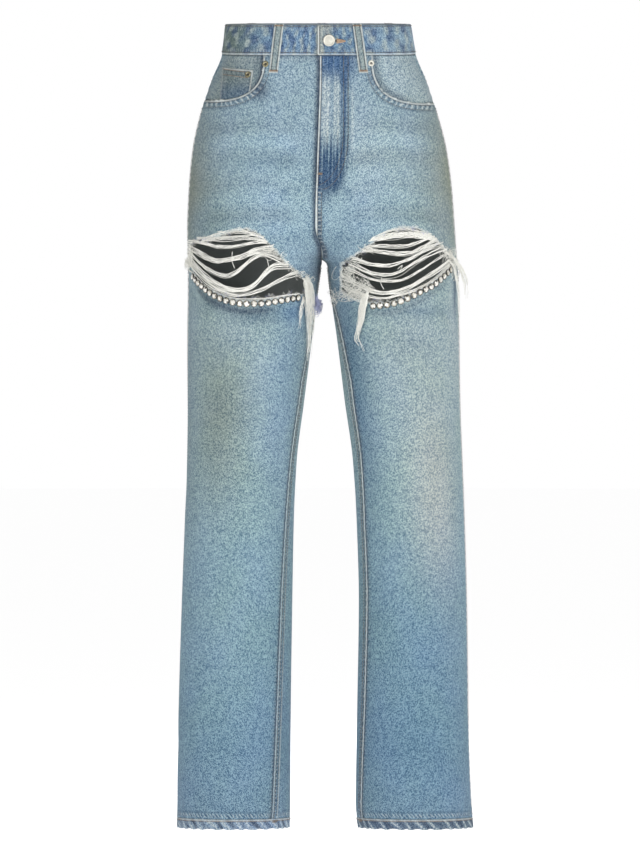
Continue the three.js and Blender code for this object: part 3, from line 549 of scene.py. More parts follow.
        # Inner face: paler undyed cotton, and grey at the thighs as painted shade of the unlit hollow
        spot = add_node(tree, "ShaderNodeTexCoord").outputs["Object"]
        height = add_node(tree, "ShaderNodeSeparateXYZ", Vector=spot).outputs["Z"]
        thighs = sum_of(spread(height, -0.16, -0.26, 0, 1), spread(height, -0.62, -0.44, 0, 1), "MULTIPLY")
        plain = blend(0.55, colour, UNDYED_GREY)
        colour = blend(thighs, plain, HOLLOW_PAINTED_SHADE)
    tree.links.new(colour, shader.inputs["Base Color"])
    shader.inputs["Roughness"].default_value = 0.88
    shader.inputs["Specular IOR Level"].default_value = 0.2
    shader.inputs["Sheen Weight"].default_value = 0.08
    relief = sum_of(sum_of(lines, flecks), sum_of(slubs, 0.5, "MULTIPLY"))
    relief = sum_of(relief, sum_of(sum_of(edge, crest), dip, "SUBTRACT"))
    bump = add_node(tree, "ShaderNodeBump", Height=relief, Strength=0.4, Distance=0.0005)
    tree.links.new(bump.outputs["Normal"], shader.inputs["Normal"])
    return finish


denim_face = denim("light_wash_denim")
denim_inside = denim("denim_inside", inside=True)

# Openings in the fronts: each pocket mouth's start from the middle and its depth below the waist seam,
# and each rip's x, upper edge and lower edge
POCKETS = {RIGHT: (77.0, 62.0), LEFT: (68.0, 66.0)}
POCKET_ROUNDNESS = 2.8
RIPS = {
    RIGHT: (
        (175, 295, 321), (166, 290, 341), (152, 289, 354), (136, 287, 363), (122, 281, 368), (106, 277, 371),
        (90, 280, 371), (78, 289, 370), (62, 306, 367), (46, 323, 365), (33, 334, 363), (22, 344, 362),
    ),
    LEFT: (
        (174, 311, 324), (164, 303, 333), (153, 292, 343), (141, 283, 351), (127, 276, 359), (111, 275, 366),
        (95, 278, 372), (78, 287, 374), (65, 299, 374), (52, 308, 371), (38, 316, 366), (27, 324, 359),
    ),
}


def one_side(sides):
    """The side of a piece that lies on one side only, from its grid of sides."""
    return RIGHT if sides.flat[0] < 0 else LEFT


def pocket_side(side):
    """Where the pocket mouth meets the side seam."""
    _, deep = POCKETS[side]
    return float(level("right_out" if side == RIGHT else "left_out", WAISTBAND_HEIGHT + deep))


def pocket_mouth(side, share):
    """x and drop along the pocket's edge, from the waist seam to the side seam."""
    start, deep = POCKETS[side]
    turn = np.asarray(share) * np.pi / 2
    x = pocket_side(side) - (pocket_side(side) - start) * np.cos(turn) ** (2 / POCKET_ROUNDNESS)
    return x, WAISTBAND_HEIGHT + deep * np.sin(turn) ** (2 / POCKET_ROUNDNESS)


def pocket_hole(side, x, drop):
    """Distance to the pocket's edge, positive in the mouth."""
    start, deep = POCKETS[side]
    wide = pocket_side(side) - start
    a = np.clip((pocket_side(side) - x) / wide, 0.0005, 3)
    b = np.clip((drop - WAISTBAND_HEIGHT) / deep, 0.0005, 3)
    n = POCKET_ROUNDNESS
    value = a**n + b**n - 1
    slope = np.hypot(n * a ** (n - 1) / wide, n * b ** (n - 1) / deep)
    return -value / np.maximum(slope, 0.01)


def rip_hole(side, x, drop):
    """Distance to the rip's ragged edge, positive in the gap."""
    rows = np.array(RIPS[side], float)[::-1]
    top, bottom = np.interp(x, rows[:, 0], rows[:, 1]), np.interp(x, rows[:, 0], rows[:, 2])
    ragged = 0.9 * np.sin(x * 1.3) + 0.6 * np.sin(x * 2.9 + 1)
    from_ends = np.minimum(x - rows[0, 0], rows[-1, 0] - x)
    return np.minimum(np.minimum(drop - top + ragged, bottom - drop + ragged) * 0.85, from_ends)


def front_hole(side, angle, drop):
    x = half_width(side, np.abs(angle), drop)
    rip = np.where(angle > 0, rip_hole(one_side(side), x, drop), -FAR)
    return np.maximum(pocket_hole(one_side(side), x, drop), rip)


# Grid lines of the panels, closer above the knee and beside the seams
PANEL_TOP = WAISTBAND_HEIGHT + 0.3
PANEL_DROPS = np.concatenate([np.arange(PANEL_TOP, 400, 2.6), np.linspace(400, HEM_TOP - 0.3, 184)])
PANEL_WIDTH = 250.0
BACK_WIDTH = 1.1 * PANEL_WIDTH
POCKET_FOOT = 125  # below the pocket mouths and their stitching
NEAR_SEAM = np.arange(0, 11, 1.2) / PANEL_WIDTH
PANEL_SHARES = np.concatenate([NEAR_SEAM, np.linspace(0.054, 0.946, 68), 1 - NEAR_SEAM[::-1]])


def at_rows(values, v):
    return np.interp(v, np.linspace(0, 1, len(values)), values)


def ripple(distance, along, pitch=10.5):
    """Small puckers beside a line of stitches, fading out over about a finger's width."""
    return hump(distance, 0, 8) * np.sin(2 * np.pi * along / pitch + 2 * np.sin(along / 31))


def hem_ripple(angle, drop):
    """Slanting ridges above the hem, where its twist pulls at the leg."""
    above = np.maximum(HEM_TOP - drop, 0)
    return np.exp(-above / 16) * np.sin(np.degrees(angle) * 1.35 * 2 * np.pi / 15 + above / 7)


def front_place(side):
    def place(v, u):
        u = at_rows(PANEL_SHARES, u)
        drop = at_rows(PANEL_DROPS, v)
        outer, inner = seam_angles(side, drop)
        angle = mix(outer + SEAM_GAP, inner - SEAM_GAP + centre_turn(side, drop), u)
        x = half_width(side, np.abs(angle), drop)
        below_fly = smooth(drop, 214, 232) * (1 - smooth(drop, 296, 312)) * (side == LEFT)
        felled = (1 - smooth(x + centre_shift(drop), 8.4, 10)) * below_fly
        from_mouth = np.maximum(-pocket_hole(side, x, drop), 0)
        fold = 0.45 * (1 - smooth(from_mouth, 9, 11)) + 0.3 * ripple(from_mouth - 6, x + drop, 8)
        lift = 0.9 * felled + fold * (drop < POCKET_FOOT)
        lift = lift + 0.35 * ripple(u * PANEL_WIDTH, drop) * smooth(drop, 110, 150)
        lift = lift + 0.3 * ripple((1 - u) * PANEL_WIDTH, drop) + 0.6 * hem_ripple(angle, drop)
        return side, angle, drop, lift
    return place


def yoke_seam(u):
    """Drop of the yoke's lower seam, from the side (0) to the middle of the back (1)."""
    return mix(78.0, 112.0, u)


def back_place(side):
    def place(v, u):
        u = at_rows(PANEL_SHARES, u)
        start = (at_rows(PANEL_DROPS, v) - PANEL_DROPS[0]) / (PANEL_DROPS[-1] - PANEL_DROPS[0])
        drop = mix(yoke_seam(u) + 0.3, PANEL_DROPS[-1], start)
        outer, inner = seam_angles(side, drop)
        angle = mix(outer - SEAM_GAP, inner - 2 * np.pi + SEAM_GAP, u)
        from_inseam = (1 - u) * BACK_WIDTH
        felled = (1 - smooth(from_inseam, 9, 11)) * smooth(v, 0.0, 0.02)
        felled = felled * np.where(drop < CROTCH, side == LEFT, 1)
        lift = 0.8 * felled + 0.4 * ripple(from_inseam - 5, drop) + 0.35 * ripple(u * PANEL_WIDTH, drop)
        lift = lift + 0.4 * ripple(drop - yoke_seam(u), u * 230, 9) + 0.6 * hem_ripple(angle, drop)
        return side, angle, drop, lift
    return place


# The fly's dye, the dark tint of the painted shade beside seams and edges, and the reach of the fly's lower
# dark patch at each drop
NAVY_ABOVE, NAVY_BELOW = np.array((0.032, 0.10, 0.225)), np.array((0.012, 0.06, 0.15))
PALE_STREAK, SEWN_SHADE = np.array((0.48, 0.55, 0.56)), np.array((0.045, 0.075, 0.12))
NAVY_DROPS = (150, 165, 190, 212, 222, 233, 245, 258)
NAVY_REACH = (38, 36, 34, 31, 27, 18, 12, 6)


def fly_wash(side, angle, drop):
    """The wash round the fly: navy above and below, pale streaks between, fading past its curved edge."""
    colour = wash_and_shade_at(side, angle, drop)
    x = half_width(side, np.abs(angle), drop)
    here = (side > 0) & (angle > np.pi / 2) & (drop < 270)
    uneven = np.sin(x * 1.4 + 0.02 * drop) + 0.6 * np.sin(x * 0.83 + 0.05 * drop + 1)
    curve = np.interp(drop, NAVY_DROPS, NAVY_REACH)
    ragged = drop + 9 * uneven
    top = (1 - smooth(ragged, 48, 88)) * (1 - smooth(x, 36, 54))
    column = 0.6 * hump(x, 30, 5) * smooth(drop, 55, 75) * (1 - smooth(drop, 150, 190))
    low = smooth(ragged, 144, 190) * (1 - smooth(ragged, 206, 262)) * (1 - smooth(x, curve - 10, curve + 7))
    middle = 0.2 * (1 - smooth(x, 34, 42)) * (1 - smooth(drop, 150, 180))
    deep = (0.84 * top + column + 1.05 * low + middle) * (1 + 0.3 * uneven)
    pale = 0.9 * hump(x, 6, 6.2, 4) + 0.75 * hump(x, 20, 4.4, 4)
    pale = pale * smooth(drop, 58, 86) * (1 - smooth(drop, 140, 172)) * (0.8 + 0.26 * uneven)
    pale = pale + 0.5 * hump(x, 41, 1.6) * smooth(drop, 75, 95) * (1 - smooth(drop, 150, 180))
    navy = mix(NAVY_ABOVE, NAVY_BELOW, smooth(drop, 100, 170)[..., None])
    colour = mix(colour, navy, (here * np.clip(deep, 0, 0.96))[..., None])
    return mix(colour, PALE_STREAK, (here * np.clip(pale, 0, 0.9))[..., None])


def front_worn(side, angle, drop, v, u):
    x = half_width(side, np.abs(angle), drop)
    rip = 1.6 * hump(rip_hole(one_side(side), x, drop), 0, 3.0) * (drop > 250)
    return np.clip(rip + 0.6 * np.maximum(hem_ripple(angle, drop), 0), 0, 1.8)


def front_seams(side, angle, drop, v, u):
    """The front's sewn edges: pocket mouth, side, inseam, waist, hem and centre, as seam_marks takes them."""
    across = at_rows(PANEL_SHARES, u) * PANEL_WIDTH
    side_here = one_side(side)
    x = half_width(side, np.abs(angle), drop)
    _, deep = POCKETS[side_here]
    mouth_down = np.maximum(drop - WAISTBAND_HEIGHT, 0) / deep
    mouth_run = 64 * np.arctan2(mouth_down, np.maximum(pocket_side(side_here) - x, 0) / 70)
    mouth = np.where(drop < POCKET_FOOT, np.maximum(-pocket_hole(side_here, x, drop), 0), FAR)
    mouth_pucker = mix(0.3, 0.95, smooth(drop, 78, 98))
    inseam = np.where(drop > CROTCH, PANEL_WIDTH - across, FAR)
    ring, above_hem = np.degrees(angle) * ROUND_LEG, HEM_TOP - drop
    below_fly = (drop > FLY_BOTTOM - 14) & (drop < CROTCH) & (side == LEFT)
    centre = np.where(below_fly, x + centre_shift(drop), FAR)
    return (
        (mouth_run, mouth, 1, mouth_pucker), (drop, across, 0.1, 0.5), (drop, inseam, 0, 0.25),
        (ring, drop - PANEL_TOP, 0, 0.4), (ring - 0.8 * side * above_hem, above_hem, 0, 0.7),
        (drop, centre, 1, 0.6),
    )


def seam_shade(colour, amount):
    return mix(colour, SEWN_SHADE, np.clip(amount, 0, 0.95)[..., None])


def front_wash_and_shade(side, angle, drop):
    """The wash with painted shade below the waistband, in the troughs of the ridges above the hem, at the
    inseam, below the rip's stones, below the right pocket mouth and beside the centre seam; darker on the
    left front's felled band below the fly.
    """
    x, shift = half_width(side, np.abs(angle), drop), centre_shift(drop)
    shade = 0.4 * hump(drop, 41, 4) + 0.25 * np.maximum(-hem_ripple(angle, drop), 0)
    _, inner = seam_angles(one_side(side), drop)
    shade = shade + 0.95 * hump((inner - angle) * 80, 0, 4) * (drop > CROTCH)
    rows = np.array(RIPS[one_side(side)], float)[::-1]
    below = drop - np.interp(x, rows[:, 0], rows[:, 2])
    within = smooth(x, 45, 85) * (1 - smooth(x, 158, 176)) * (drop > 300) * (angle > 0)
    shade = shade + np.where(side < 0, 0.85, 0.4) * hump(below, 15, 4.8) * within
    shade = shade + np.where((side < 0) & (drop < CROTCH), hump(x - shift, 1, 4.2), 0)
    shade = shade + 0.6 * hump(x, 80, 9) * hump(drop, 86, 13) * ((side < 0) & (angle > 0))
    felled = smooth(x + shift, 1.5, 3.5) * (1 - smooth(x + shift, 6.5, 9.5))
    shade = shade + 0.75 * felled * smooth(drop, 242, 258) * ((drop < CROTCH) & (side > 0))
    return seam_shade(fly_wash(side, angle, drop), shade)


def back_worn(side, angle, drop, v, u):
    return 0.6 * np.maximum(hem_ripple(angle, drop), 0)


def back_seams(side, angle, drop, v, u):
    """The back's sewn edges: inseam with its felled edge, side, yoke and hem, as seam_marks takes them."""
    across = at_rows(PANEL_SHARES, u)
    from_inseam, from_outseam = (1 - across) * BACK_WIDTH, across * BACK_WIDTH
    ring, above_hem = np.degrees(angle) * ROUND_LEG, HEM_TOP - drop
    felled = np.where((drop > CROTCH) | (side == LEFT), np.abs(from_inseam - 10), FAR)
    return (
        (drop, from_inseam, np.where(side > 0, 0.65, 0.4), 0.9), (drop, felled, 0.45, 0.1),
        (drop, from_outseam, 0.1, 0.45), (ring, drop - yoke_seam(across), 0, 0.5),
        (ring - 0.8 * side * above_hem, above_hem, 0, 0.7),
    )


def back_wash_and_shade(side, angle, drop):
    _, inner = seam_angles(one_side(side), drop)
    from_inseam = (angle - inner + 2 * np.pi) * 82
    # Painted shade beside the felled inseam and in the troughs of the ridges above the hem
    shade = 0.3 * hump(from_inseam, 5, 3) + 0.25 * np.maximum(-hem_ripple(angle, drop), 0)
    return seam_shade(wash_and_shade_at(side, angle, drop), shade)


PANEL_GRID = len(PANEL_DROPS) - 1, len(PANEL_SHARES) - 1
for side, side_name in SIDES:
    front = shell(
        f"denim_front_{side_name}", *PANEL_GRID, front_place(side),
        hole=front_hole, worn=front_worn, wash_and_shade=front_wash_and_shade, seams=front_seams,
    )
    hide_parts(f"front_{side_name}")
    back = shell(
        f"denim_back_{side_name}", *PANEL_GRID, back_place(side),
        worn=back_worn, wash_and_shade=back_wash_and_shade, seams=back_seams,
    )
    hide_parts(f"back_{side_name}")

# Back yokes: shallow wedges of the same twill between the waistband and the leg backs, which shape the
# seat. Their lower edges are felled over the backs and sewn in two rows.
def yoke_seams(side, angle, drop, v, u):
    ring = np.degrees(angle) * ROUND_LEG
    below, above = (ring, yoke_seam(u) - drop, 0.8, 0.8), (ring, drop - PANEL_TOP, 0, 0.4)
    return below, above, (drop, (1 - u) * 200, 0.2, 0.6)


for side, side_name in SIDES:
    def yoke_place(v, u, side=side):
        return side, mix(-SEAM_GAP, -np.pi + SEAM_GAP, u), mix(PANEL_TOP, yoke_seam(u), v), 0.0

    yoke = shell(f"denim_yoke_{side_name}", 18, 70, yoke_place, seams=yoke_seams)
    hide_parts(f"yoke_{side_name}")

# Pocket facings: the same twill, single, showing in the pocket mouths and running on under the fronts.
# They are sewn into the waist seam and the side seams.
FACING_LIFT = -(CLOTH + 0.9)
FACING_TINTS = {RIGHT: np.array((0.26, 0.32, 0.315)), LEFT: np.array((0.39, 0.49, 0.515))}


def facing_wash_and_shade(side, angle, drop):
    """The wash tinted towards the middle, with painted shade where the pocket's edge hangs over it."""
    x = half_width(side, np.abs(angle), drop)
    tinted = (0.15 + 0.6 * smooth(np.degrees(angle), 4, 34))[..., None]
    hidden = np.maximum(pocket_hole(one_side(side), x, drop), 0)
    right = 0.5 * (1 - smooth(x, 76, 100)) + 0.85 * hump(hidden, 0, 3.4) * (1 - smooth(x, 90, 118))
    left = 0.55 * (1 - smooth(hidden, 3, 15)) * (1 - smooth(x, 105, 130))
    colour = mix(wash_and_shade_at(side, angle, drop), FACING_TINTS[one_side(side)], tinted)
    return seam_shade(colour, np.where(side < 0, right, left))


for side, side_name in SIDES:
    def facing_place(v, u, side=side):
        x, mouth = pocket_mouth(side, mix(0.02, 0.995, u))
        drop = mix(PANEL_TOP, mouth + 12, v)
        angle = np.where(u > 0.999, SEAM_GAP, angle_at(side, x, drop))
        flush = smooth(u, 0.93, 1.0) * (1 - smooth(v, 0.78, 0.85))
        return side, angle, drop, mix(FACING_LIFT, -0.1, flush)

    facing = shell(
        f"denim_facing_{side_name}", 28, 40, facing_place, wall=1.0, wash_and_shade=facing_wash_and_shade,
        seams=lambda side, angle, drop, v, u: ((np.degrees(angle) * ROUND_LEG, drop - PANEL_TOP, 0, 0.4),),
    )
    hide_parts(f"pocket_facing_{side_name}")

# Coin pocket: a small patch of twill on the right facing, hemmed at its mouth in two rows. Its sides are
# turned under and sewn, and its foot is caught under the front pocket's edge.
COIN_WIDE, COIN_WALL, COIN_GAP = 42, 1.2, 0.5
COIN_ABOVE, COIN_BELOW = np.array((0.19, 0.245, 0.245)), np.array((0.10, 0.16, 0.22))


def coin_top(u):
    return mix(57.0, 60.5, u)


def coin_place(v, u):
    mouth_x, mouth = pocket_mouth(RIGHT, np.linspace(0, 1, 400))
    x = mix(mix(133.0, 136.0, v), mix(91.0, 95.0, v), u)
    drop = mix(coin_top(u), np.interp(x, mouth_x, mouth) - 1, v)
    return RIGHT, angle_at(RIGHT, x, drop), drop, FACING_LIFT + COIN_GAP + COIN_WALL


def coin_seams(side, angle, drop, v, u):
    sides = (drop, u * COIN_WIDE, 0.3, 0.2), (drop, (1 - u) * COIN_WIDE, 0.6, 0.2)
    return (u * 40, drop - coin_top(u), 1, 0.2), *sides


coin = shell(
    "denim_coin_pocket", 24, 28, coin_place, wall=COIN_WALL, seams=coin_seams,
    wash_and_shade=lambda side, angle, drop: mix(COIN_ABOVE, COIN_BELOW, smooth(drop, 68, 92)[..., None]),
)
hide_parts("coin_pocket")

# Fly: the J-shaped double layer of twill on the left of the centre seam, sewn down in two curved rows.
# It is darker than the fronts, with pale streaks over the fastening hidden below it.
FLY_WIDTH, FLY_BEND, FLY_WALL = 38.0, 76.0, 1.2


def fly_edge(drop, bottom=FLY_BOTTOM):
    bent = np.clip((drop - (bottom - FLY_BEND)) / FLY_BEND, 0, 1)
    return mix(1.0, FLY_WIDTH, np.sqrt(1 - bent * bent))


def fly_place(v, u):
    drop = mix(PANEL_TOP + 1, FLY_BOTTOM, v)
    x = mix(fly_edge(drop), 0.4 - centre_shift(drop), u)
    streak = 0.22 * np.sin(x * 0.85) * smooth(x, 2, 6)
    thick = smooth(u, 0.0, 0.4) * (1 - smooth(v, 0.88, 1.0))
    return LEFT, angle_at(LEFT, x, drop), drop, mix(0.3, 1.5, thick) + streak


fly = shell(
    "denim_fly", 70, 46, fly_place, wall=FLY_WALL, wash_and_shade=fly_wash,
    seams=lambda side, angle, drop, v, u: (
        (drop, (1 - u) * (fly_edge(drop) + 6), 1, 0.15), (drop, u * (fly_edge(drop) + 6), 0, 0.12),
    ),
)
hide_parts("fly_placket")

# Waistband: one folded strip of twill that stands on the panels' top edges, sewn along both its edges.
# Its left end laps over the right one in front and is held by the button.
WAIST_LIFT, WAIST_WALL = 1.0, 2.4
ROUND_WAIST = 1.7  # millimetres to a degree round the waist
LAP_END, UNDER_START, UNDER_END = 5.0, 14.0, 36.0
# Columns of the strip: the lap's end, each half round the body, and the end below the lap
LAP_STEPS, HALF_STEPS, UNDER_STEPS = 4, 134, 40
BACK_STEP = LAP_STEPS + HALF_STEPS
UNDER_STEP = BACK_STEP + HALF_STEPS
WAIST_STEPS = UNDER_STEP + UNDER_STEPS


def waist_place(v, u):
    step = u * WAIST_STEPS
    drop = v * WAISTBAND_HEIGHT
    lap_end = angle_at(RIGHT, np.clip(LAP_END * (1 - step / LAP_STEPS), 0.001, LAP_END), drop)
    left_half = mix(np.pi, -np.pi, np.clip((step - LAP_STEPS) / HALF_STEPS, 0, 1))
    right_end = angle_at(RIGHT, UNDER_START, drop)
    right_half = mix(-np.pi, right_end, np.clip((step - BACK_STEP) / HALF_STEPS, 0, 1))
    under_x = mix(-UNDER_START, UNDER_END, np.clip((step - UNDER_STEP) / UNDER_STEPS, 0, 1))
    under_side = np.where(under_x < 0, RIGHT, LEFT)
    under = angle_at(under_side, np.abs(under_x), drop)
    stretches = [step < LAP_STEPS, step <= BACK_STEP, step <= UNDER_STEP]
    side = np.select(stretches, [RIGHT, LEFT, RIGHT], under_side)
    angle = np.select(stretches, [lap_end, left_half, right_half], under)
    ring = np.degrees(angle) * ROUND_WAIST
    round_edge = 0.5 * (hump(v, 0, 0.08) + hump(v, 1, 0.08))
    wave = 0.25 * ripple(drop - 36, ring, 12) + 0.2 * ripple(drop - 4, ring, 11)
    sunk = np.where(step > UNDER_STEP, (WAIST_WALL + 0.5) * smooth(under_x, -UNDER_START, -6), 0)
    return side, angle, drop, WAIST_LIFT - round_edge + wave - sunk


TURN = 6.3  # phases are drawn from a full turn


def blotches(a, b, seed):
    """Soft random patches from 0 to 1, about one unit across."""
    chance = np.random.default_rng(seed)
    total = np.zeros(np.broadcast(a, b).shape)
    for _ in range(9):
        heading, wide, phase = chance.uniform(0, TURN), chance.uniform(1.6, 4.2), chance.uniform(0, TURN)
        total += np.sin(wide * (a * math.cos(heading) + b * math.sin(heading)) + phase)
    return np.clip(0.5 + total / 8, 0, 1)


WAIST_OLIVE, WAIST_BLUE = np.array((0.12, 0.175, 0.17)), np.array((0.15, 0.26, 0.39))
WAIST_SKY, WAIST_NAVY = np.array((0.24, 0.355, 0.455)), np.array((0.035, 0.085, 0.20))
WAIST_PALE, WAIST_BEIGE = np.array((0.40, 0.47, 0.45)), np.array((0.46, 0.48, 0.42))


def waist_wash(side, angle, drop):
    """Navy and pale blotches; olive at the right side, bluer to the front and left, beige at the lap."""
    a, b = side * np.degrees(angle) * ROUND_WAIST / 12, drop / 9
    x = side * half_width(side, np.abs(angle), drop)
    base = mix(WAIST_OLIVE, WAIST_BLUE, smooth(x, -125, -60)[..., None])
    base = mix(base, WAIST_SKY, smooth(x, 40, 110)[..., None])
    dark = mix(0.35, 0.72, angle > 0) * smooth(blotches(a, b, 3), 0.45, 0.8)
    pale = mix(0.3, 0.65, angle > 0) * smooth(blotches(a * 1.3, b, 8), 0.5, 0.9)
    colour = mix(mix(base, WAIST_NAVY, dark[..., None]), WAIST_PALE, pale[..., None])
    beige = 0.75 * hump(x, -2, 5, 4) + 0.6 * hump(x, 9, 6, 4) * (1 - smooth(drop, 8, 18))
    return mix(colour, WAIST_BEIGE, (np.clip(beige, 0, 0.9) * (angle > 0))[..., None])


def waist_seams(side, angle, drop, v, u):
    ring, step = np.degrees(angle) * ROUND_WAIST, u * WAIST_STEPS
    from_lap = np.where(step < LAP_STEPS, step * LAP_END / LAP_STEPS, LAP_END + (step - LAP_STEPS) * 2.9)
    return (ring, drop, 0.12, 0.3), (ring, WAISTBAND_HEIGHT - drop, 0.55, 0.35), (drop, from_lap, 1, 0.3)


waistband = shell(
    "denim_waistband", 20, WAIST_STEPS, waist_place, wall=WAIST_WALL, wash_and_shade=waist_wash, seams=waist_seams,
)
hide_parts("waistband")

# Belt loops: narrow strips of twill folded in three, with a row of stitches along both edges. They stand
# over the waistband and are tacked above its top edge and below its seam.
LOOP_WIDTH, LOOP_TOP, LOOP_BOTTOM, LOOP_WALL = 12.0, -2.0, 64.0, 1.6
LOOP_COLOUR = np.array((0.26, 0.325, 0.325))
# Each loop's node, side, front (1) or back (-1), and the x of its upper and lower end
LOOPS = (
    ("loop_front_right", RIGHT, 1, 56, 64), ("loop_front_left", LEFT, 1, 47, 56),
    ("loop_back_right", RIGHT, -1, 92, 94), ("loop_back_left", LEFT, -1, 88, 90),
    ("loop_back", LEFT, -1, 0, 0),
)


def loop_lift(drop):
    off_band = smooth(drop, WAISTBAND_HEIGHT - 1, WAISTBAND_HEIGHT + 9)
    slack = 1.2 * np.sin(np.pi * np.clip(drop / WAISTBAND_HEIGHT, 0, 1))
    return mix(WAIST_LIFT, 0, off_band) + 0.5 + slack + LOOP_WALL


for node_name, side, face, top_x, bottom_x in LOOPS:
    def loop_place(v, u, side=side, face=face, top_x=top_x, bottom_x=bottom_x):
        drop = mix(LOOP_TOP if face > 0 else 1.0, LOOP_BOTTOM, v)
        x = mix(top_x, bottom_x, v) + (0.5 - u) * LOOP_WIDTH
        here = np.where(x < 0, -side, side)
        rolled = 0.5 * np.sin(np.pi * u) ** 0.5 - 0.5
        return here, face * angle_at(here, np.abs(x), drop), drop, loop_lift(drop) + rolled

    loop = shell(
        f"denim_{node_name}", 44, 12, loop_place, wall=LOOP_WALL,
        wash_and_shade=lambda side, angle, drop: np.broadcast_to(LOOP_COLOUR, (*drop.shape, 3)),
        seams=lambda side, angle, drop, v, u: (
            (drop, u * LOOP_WIDTH, 0.8, 0), (drop, (1 - u) * LOOP_WIDTH, 0.8, 0),
            (u * LOOP_WIDTH, (1 - v) * (LOOP_BOTTOM - LOOP_TOP), 0.7, 0),
        ),
    )
    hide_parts(node_name)

# Back pockets: plain five-sided patches of twill, hemmed at the mouth and folded in at the other edges.
# They are sewn to the leg backs below the yokes in two rows.
BACK_INNER, BACK_OUTER, BACK_TOP, BACK_TALL = 24, 142, 128, 128
BACK_POINT, BACK_TAPER, BACK_SLANT = 24, 8, -8
PATCH_WIDE, PATCH_TALL = BACK_OUTER - BACK_INNER, BACK_TALL + BACK_POINT / 2
PATCH_WALL, PATCH_LIFT = 1.2, 2.0


def back_pocket_spot(side, v, u):
    drop = BACK_TOP + BACK_SLANT * (1 - u) + v * (BACK_TALL + BACK_POINT * (1 - np.abs(2 * u - 1)))
    outer = angle_at(side, BACK_OUTER - BACK_TAPER * v, drop)
    inner = angle_at(side, BACK_INNER + BACK_TAPER * v, drop)
    return -mix(outer, inner, u), drop


for side, side_name in SIDES:
    def pocket_place(v, u, side=side):
        angle, drop = back_pocket_spot(side, v, u)
        return side, angle, drop, PATCH_LIFT

    def pocket_seams(side, angle, drop, v, u):
        ends = (u * PATCH_WIDE, v * PATCH_TALL, 1, 0.6), (u * PATCH_WIDE, (1 - v) * PATCH_TALL, 0.9, 0.7)
        return (drop, u * PATCH_WIDE, 0.9, 0.7), (drop, (1 - u) * PATCH_WIDE, 0.9, 0.7), *ends

    patch = shell(
        f"denim_back_pocket_{side_name}", 50, 44, pocket_place, wall=PATCH_WALL, seams=pocket_seams,
    )
    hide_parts(f"back_pocket_{side_name}")

# Hems: leg ends of the same twill, turned up twice and sewn in one row. The twist of the fold ropes them
# in slanting ridges, worn pale on their crests.
HEM_ROPES, HEM_ROUND, HEM_WALL = 27, 480, 2.8
HEM_GROUND = {RIGHT: np.array((0.24, 0.335, 0.46)), LEFT: np.array((0.11, 0.17, 0.245))}
HEM_DARK, HEM_PALE = np.array((0.05, 0.08, 0.135)), np.array((0.52, 0.58, 0.60))


def roping(v, u, side):
    """The ridges' height from -1 to 1, uneven round the leg."""
    return np.sin(u * HEM_ROPES * 2 * np.pi + side * 4.4 * v + 0.9 * np.sin(u * 41) + 0.6 * np.sin(u * 97))


def hem_wash(side, angle, drop):
    u, v = (angle + np.pi) / (2 * np.pi), (drop - HEM_TOP) / (LENGTH - HEM_TOP)
    rope = roping(v, u, side)
    dark = smooth(-rope, 0.0, 0.7) * (0.75 + 0.25 * np.sin(u * 63)) * (1 - 0.5 * smooth(v, 0.7, 1))
    colour = mix(HEM_GROUND[one_side(side)], HEM_DARK, (0.9 * dark)[..., None])
    return mix(colour, HEM_PALE, (0.65 * smooth(rope, 0.55, 0.95))[..., None])


for side, side_name in SIDES:
    def hem_place(v, u, side=side):
        rope = roping(v, u, side)
        swell = np.sin(np.pi * np.clip(v * 0.9 + 0.1, 0, 1))
        drop = mix(HEM_TOP, LENGTH - 0.8 + 0.8 * rope, v)
        return side, mix(-np.pi, np.pi, u), drop, 0.5 + 0.3 * rope * swell

    hem = shell(
        f"denim_hem_{side_name}", 10, 288, hem_place, wall=HEM_WALL, wash_and_shade=hem_wash,
        worn=lambda side, angle, drop, v, u: 0.7 * hump(v, 1, 0.14),
        seams=lambda side, angle, drop, v, u: ((u * HEM_ROUND, drop - HEM_TOP, 0.65, 0),),
    )
    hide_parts(f"hem_{side_name}")

